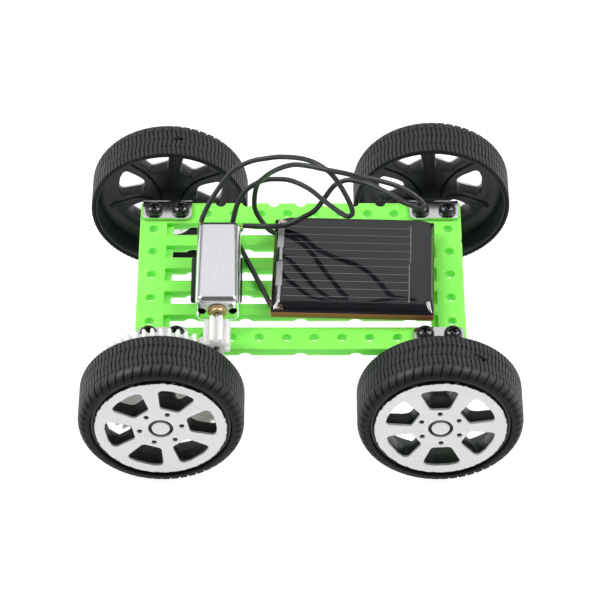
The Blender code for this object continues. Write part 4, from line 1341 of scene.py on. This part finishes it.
def make_end_cap():
    """The moulded cap behind the can, with a bearing dome and a slot for each solder tag."""
    low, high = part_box("motor_end_cap")
    y = CAN_HIGH.y
    back = y - high.y
    front = y - low.y
    width, height = high.x - low.x, high.z - low.z
    skirt_rows = rounded_rows(back, -0.05 * MM, 0.22 * MM, 0.05 * MM)
    plug_rows = [(-0.3 * MM, 0.35 * MM), (front - 0.05 * MM, 0.35 * MM), (front, 0.4 * MM)]
    mesh = lofted_box(width, height, CAN_CORNER, skirt_rows)
    mesh = joined(mesh, lofted_box(width, height, CAN_CORNER, plug_rows))
    dome = [(0, back - 0.45 * MM), (0, back + 0.3 * MM), (1.6 * MM, back + 0.3 * MM)]
    dome += [(1.5 * MM, back - 0.2 * MM), (1.3 * MM, back - 0.4 * MM), (1.1 * MM, back - 0.45 * MM)]
    mesh = joined(mesh, turned("dome", list(reversed(dome)), 40))
    mesh = cut(mesh, rods_mesh(SHAFT_RADIUS + 0.05 * MM, 8 * MM, [(0, 0, 0)], 32))
    slots = [box_mesh((1.5 * MM, 0.4 * MM, 2 * MM), (side * 3 * MM, 0.6 * MM, back)) for side in (-1, 1)]
    mesh = cut(mesh, meshes_together(slots))
    mesh = softened(mesh, 0.06 * MM, 2, 45)
    add_piece("moulded_end_cap", mesh, BLACK, "chassis", ["motor_end_cap"], on_shaft(y), 40)


def solder_blob(size, seed):
    """A lump of solder, wetted out at its foot."""
    shape = bmesh.new()
    bmesh.ops.create_icosphere(shape, subdivisions=4, radius=0.5)
    for vert in shape.verts:
        spot = vert.co.copy()
        spread = 1 + 0.45 * max(0, -2 * spot.z) ** 2
        wave = 1 + 0.09 * math.sin(7 * spot.x + seed) + 0.07 * math.sin(9 * spot.y + 2 * seed)
        vert.co = (spot.x * size[0] * spread * wave, spot.y * size[1] * spread * wave, spot.z * size[2])
    return to_mesh("solder", shape)


def bare_strands(name, start, end, sag, nodes=()):
    """The wire's bare copper strands, twisted together from the insulation to the joint."""
    start, end = Vector(start), Vector(end)
    along = (end - start).normalized()
    side = along.orthogonal().normalized()
    up = along.cross(side)
    meshes = []
    for strand in range(4):
        points = []
        for step in range(25):
            part = step / 24
            angle = math.tau * (strand / 4 + 0.9 * part)
            ring = 0.13 * MM * (1 - 0.3 * part)
            point = start.lerp(end, part) + Vector((0, 0, -sag * math.sin(math.pi * part)))
            points.append(point + (side * math.cos(angle) + up * math.sin(angle)) * ring)
        meshes.append(baked(working(tube("strand", points, 0.09 * MM, 3))))
    add_piece(name, meshes_together(meshes), COPPER, "chassis", nodes)


def make_terminals():
    """A brass tag with a rounded end on each side, its wire's strands and the solder between them."""
    for side, wire_end in (("left", FRONT_WIRE_ROUTE[0]), ("right", BACK_WIRE_ROUTE[-1])):
        node = f"motor_terminal_{side}"
        low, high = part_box(node)
        width = high.x - low.x
        length = high.y - CAN_HIGH.y
        rounded_end = circle(0, length - width / 2, width / 2, 24)[:13]
        outline = [(-width / 2, 0), *reversed(rounded_end), (width / 2, 0)]
        hole = circle(0, length - width / 2, 0.25 * MM, 20)
        mesh = sheet([outline, hole], high.z - low.z, 0.05 * MM)
        spot = Vector(((low.x + high.x) / 2, CAN_HIGH.y, (low.z + high.z) / 2))
        add_piece(f"solder_tag_{side}", mesh, BRASS, "chassis", [node], Matrix.Translation(spot))
        joint = Vector((spot.x, high.y - 0.4 * MM, high.z))
        bare_strands(f"strands_{side}", wire_end, joint, 0.12 * MM)
        blob = solder_blob((1.1 * MM, 0.9 * MM, 0.5 * MM), 1.3 + spot.x / MM)
        at_joint = Matrix.Translation(joint)
        add_piece(f"tag_solder_{side}", blob, SOLDER, "chassis", (), at_joint, 80)


def repaint_motor_inside():
    """The parts inside the can keep their CAD shapes."""
    inside = {
        MAGNET: ("motor_magnet_left", "motor_magnet_right"),
        COPPER: ("motor_coil_1", "motor_coil_2", "motor_coil_3", "motor_commutator"),
        BRASS: ("motor_brush_lower", "motor_brush_upper"),
        ROD_STEEL: ("motor_armature", "motor_shaft"),
    }
    for material, names in inside.items():
        for name in names:
            for holder in frame["nodes"][name].material_slots:
                holder.material = material


make_can()
make_front_bush()
make_end_cap()
make_terminals()
repaint_motor_inside()


# Foam pads


def foam_pad(name, node, size, place):
    """A die-cut pad of foam tape whose sides swell a little between its two glued faces."""
    width, length, thick = size
    parts = [step / 8 for step in range(9)]
    rows = [(thick * (part - 0.5), 0.16 * MM * (2 * part - 1) ** 4 + 0.02 * MM) for part in parts]
    mesh = lofted_box(width, length, 0.4 * MM, rows)
    piece = add_piece(name, mesh, FOAM, "chassis", [node], place, 60)


PANEL_TURN = math.radians(-1.9)
PANEL_LENGTH = 29.6 * MM
PANEL_WIDTH = 24 * MM
BOARD_LOW, BOARD_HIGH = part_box("panel_board")
PANEL_MIDDLE = (BOARD_LOW + BOARD_HIGH) / 2


def on_panel(x, y, z):
    """A place given in the panel's own length and width, at world height z, turned with the panel."""
    turn = Matrix.Rotation(PANEL_TURN, 4, "Z")
    spot = turn @ Vector((x, y, 0))
    return Matrix.Translation((PANEL_MIDDLE.x + spot.x, PANEL_MIDDLE.y + spot.y, z)) @ turn


def make_pads():
    node = "motor_foam_pad"
    foam_pad("motor_pad", node, size_of(node), Matrix.Translation(middle_of(node)))
    node = "panel_foam_pad"
    size = (22 * MM, 16 * MM, size_of(node).z)
    foam_pad("panel_pad", node, size, on_panel(2 * MM, 0, middle_of(node).z))


# Solar panel

TAB_X = -13.4 * MM
LINES = 10
LINE_PITCH = 1.98 * MM
FIRST_LINE_Y = 9.5 * MM
BUS_X = 10.4 * MM


def make_board():
    """The laminate board, with sawn edges and slightly broken corners."""
    thick = BOARD_HIGH.z - BOARD_LOW.z
    rows = rounded_rows(-thick / 2, thick / 2, 0.12 * MM, 0.08 * MM, 3)
    mesh = lofted_box(PANEL_LENGTH, PANEL_WIDTH, 0.35 * MM, rows)
    place = on_panel(0, 0, PANEL_MIDDLE.z)
    add_piece("laminate_board", mesh, LAMINATE, "chassis", ["panel_board"], place)
    film_thick = 0.03 * MM
    inset = 0.12 * MM
    outline = rounded_rectangle(PANEL_LENGTH - inset, PANEL_WIDTH - inset, 0.4 * MM)
    film = sheet([outline], film_thick, 0.01 * MM)
    place = on_panel(0, 0, BOARD_HIGH.z + film_thick / 2)
    add_piece("black_board_film", film, SILICON, "chassis", (), place)


def make_cells():
    """The dark wafer, its ten printed lines and the line across their right ends."""
    low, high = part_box("solar_cells")
    left, right = TAB_X + 0.7 * MM, 13.7 * MM
    thick = high.z - low.z
    wafer = sheet([rounded_rectangle(right - left, 22 * MM, 0.2 * MM, 3)], thick, 0.03 * MM)
    place = on_panel((left + right) / 2, 0, (low.z + high.z) / 2)
    add_piece("silicon_wafer", wafer, SILICON, "chassis", ["solar_cells"], place)
    print_height = 0.02 * MM
    marks = []
    for number in range(LINES):
        y = FIRST_LINE_Y - number * LINE_PITCH
        marks.append(box_mesh((BUS_X - left, 0.11 * MM, print_height), ((BUS_X + left) / 2, y, 0)))
    for start, end, x in ((10.2, 0.6, BUS_X), (0.4, -9.4, BUS_X - 0.2 * MM)):
        marks.append(box_mesh((0.2 * MM, (start - end) * MM, print_height), (x, (start + end) / 2 * MM, 0)))
    lines = softened(meshes_together(marks), 0.005 * MM, 1)
    place = on_panel(0, 0, high.z + print_height / 2)
    add_piece("printed_lines", lines, CELL_LINE, "chassis", (), place)


def make_tabs():
    """The folded metal tabs along the cells' left ends, each with a wide half and a narrow half."""
    wide, narrow = 0.46 * MM, 0.26 * MM
    for which, wide_end, wide_start, tail in (("back", 9.6, 4.3, 0.8), ("front", 0.5, -5.5, -9.6)):
        node = f"cell_tab_{which}"
        low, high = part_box(node)
        outline = [(wide, wide_end * MM), (-wide, wide_end * MM), (-wide, wide_start * MM)]
        outline += [(-narrow, (wide_start - 0.3) * MM), (-narrow, tail * MM), (narrow, tail * MM)]
        outline += [(narrow, (wide_start - 0.3) * MM), (wide, wide_start * MM)]
        mesh = sheet([outline], high.z - low.z, 0.03 * MM)
        place = on_panel(TAB_X, 0, (low.z + high.z) / 2)
        add_piece(f"metal_tab_{which}", mesh, TAB_STEEL, "chassis", [node], place)


def make_corner_joints():
    """A pad and solder at the board's left corners, above and below, where the wires end."""
    pad_thick = 0.05 * MM
    outline = rounded_rectangle(1.7 * MM, 1.1 * MM, 0.3 * MM, 4)
    for which, x, y, wire_end in (
        ("back", -13.2, 10.6, BACK_WIRE_ROUTE[0]),
        ("front", -13.3, -10.7, FRONT_WIRE_ROUTE[-1]),
    ):
        pad = sheet([outline], pad_thick, 0.01 * MM)
        place = on_panel(x * MM, y * MM, BOARD_HIGH.z + pad_thick / 2)
        add_piece(f"corner_pad_{which}", pad, BRASS, "chassis", (), place)
        blob = solder_blob((0.9 * MM, 0.6 * MM, 0.35 * MM), y)
        place = on_panel((x - 0.1) * MM, (y - 0.1) * MM, BOARD_HIGH.z + pad_thick + 0.1 * MM)
        add_piece(f"corner_solder_{which}", blob, SOLDER, "chassis", (), place, 80)
        ends_at = Vector(wire_end) + Vector((0.9 * MM, 0, 0.3 * MM))
        bare_strands(f"panel_strands_{which}", wire_end, ends_at, 0)
        under_pad = sheet([outline], pad_thick, 0.01 * MM)
        below = Matrix.Translation((ends_at.x, ends_at.y, BOARD_LOW.z - pad_thick / 2))
        add_piece(f"under_pad_{which}", under_pad, COPPER, "chassis", (), below)
        lower = Matrix.Translation((ends_at.x, ends_at.y, BOARD_LOW.z - 0.3 * MM))
        flipped = lower @ Matrix.Rotation(math.pi, 4, "X")
        under = solder_blob((1.4 * MM, 1.1 * MM, 0.6 * MM), y + 1)
        add_piece(f"under_solder_{which}", under, SOLDER, "chassis", (), flipped, 80)


def make_resin():
    """The clear cover: a flat top and straight slopes with soft edges, the widest slope along the front."""
    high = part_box("panel_resin_cover")[1]
    bottom = BOARD_HIGH.z - 0.02 * MM
    tall = high.z - bottom
    margins = {"left": 0.12 * MM, "right": 0.12 * MM, "front": 0.3 * MM, "back": 0.12 * MM}
    slopes = {"left": 0.8 * MM, "right": 0.45 * MM, "front": 1.7 * MM, "back": 0.4 * MM}
    rows = [(0, 0), (0.1, 0.0), (0.2, 0.06), (0.9, 0.88), (0.955, 0.95), (0.985, 1.01), (1.0, 1.12)]
    loops = []
    for rise, inward in rows:
        x0 = -PANEL_LENGTH / 2 + margins["left"] + slopes["left"] * inward
        x1 = PANEL_LENGTH / 2 - margins["right"] - slopes["right"] * inward
        y0 = -PANEL_WIDTH / 2 + margins["front"] + slopes["front"] * inward
        y1 = PANEL_WIDTH / 2 - margins["back"] - slopes["back"] * inward
        outline = rounded_rectangle(x1 - x0, y1 - y0, (1.0 + 1.3 * inward) * MM, 8)
        loops.append([(x + (x0 + x1) / 2, y + (y0 + y1) / 2, rise * tall) for x, y in outline])
    mesh = loops_mesh("resin", loops)
    place = on_panel(0, 0, bottom)
    add_piece("clear_cover", mesh, RESIN, "chassis", ["panel_resin_cover"], place, 50)


make_pads()
make_board()
make_cells()
make_tabs()
make_corner_joints()
make_resin()


# Floor and light


def make_floor():
    """A plain white floor, wide enough to fill the view."""
    paint = Paint("floor")
    cloud = paint.noise(60 * MM)
    paint.shade(base_color=paint.mix(cloud, (0.29, 0.29, 0.29), (0.32, 0.32, 0.32)), roughness=0.9)
    paint.shade(specular_ior_level=0.1, emission_strength=0.93, emission_color=(1, 1, 1))
    mesh = bpy.data.meshes.new("floor")
    half = 4
    corners = [(-half, -half, 0), (half, -half, 0), (half, half, 0), (-half, half, 0)]
    mesh.from_pydata(corners, [], [(0, 1, 2, 3)])
    mesh.materials.append(paint.material)
    floor = linked("floor", mesh)
    floor.location.z = -0.05 * MM


def make_world():
    """White overhead, grey low down all round, and dim high up behind the camera."""
    world = bpy.data.worlds.new("studio")
    world.use_nodes = True
    tree = world.node_tree

    def held(value, low, high, to_low, to_high):
        node = tree.nodes.new("ShaderNodeMapRange")
        node.interpolation_type = "SMOOTHSTEP"
        for name, number in (("From Min", low), ("From Max", high), ("To Min", to_low), ("To Max", to_high)):
            node.inputs[name].default_value = number
        tree.links.new(value, node.inputs["Value"])
        return node.outputs["Result"]

    def maths(operation, first, second):
        node = tree.nodes.new("ShaderNodeMath")
        node.operation = operation
        tree.links.new(first, node.inputs[0])
        tree.links.new(second, node.inputs[1])
        return node.outputs[0]

    way = tree.nodes.new("ShaderNodeTexCoord").outputs["Generated"]
    dot = tree.nodes.new("ShaderNodeVectorMath")
    dot.operation = "DOT_PRODUCT"
    dot.inputs[1].default_value = (0, -0.45, 0.893)
    tree.links.new(way, dot.inputs[0])
    camera_side = held(dot.outputs["Value"], 0.7, 0.93, 1.0, 0.15)
    split = tree.nodes.new("ShaderNodeSeparateXYZ")
    tree.links.new(way, split.inputs[0])
    rising = held(split.outputs["Z"], 0.42, 0.62, 0.35, 0.95)
    near_floor = held(split.outputs["Z"], 0.05, 0.3, 0.55, 0)
    total = maths("MULTIPLY", maths("ADD", rising, near_floor), camera_side)
    background = tree.nodes["Background"]
    background.inputs["Color"].default_value = (1, 1, 1, 1)
    tree.links.new(total, background.inputs["Strength"])
    bpy.context.scene.world = world


def make_softbox(name, side):
    """A soft rectangular lamp high on one side, facing the car."""
    data = bpy.data.lights.new(name, "AREA")
    data.shape = "RECTANGLE"
    data.size, data.size_y = 0.3, 0.4
    data.energy = 5
    lamp = linked(name, data)
    lamp.location = (side * 0.55, 0.08, 0.7)
    to_car = Vector((0, 0, 0.02)) - lamp.location
    lamp.rotation_euler = to_car.to_track_quat("-Z", "Y").to_euler()


make_floor()
make_world()
make_softbox("left_softbox", -1)
make_softbox("right_softbox", 1)
bpy.context.scene.view_settings.view_transform = "Standard"
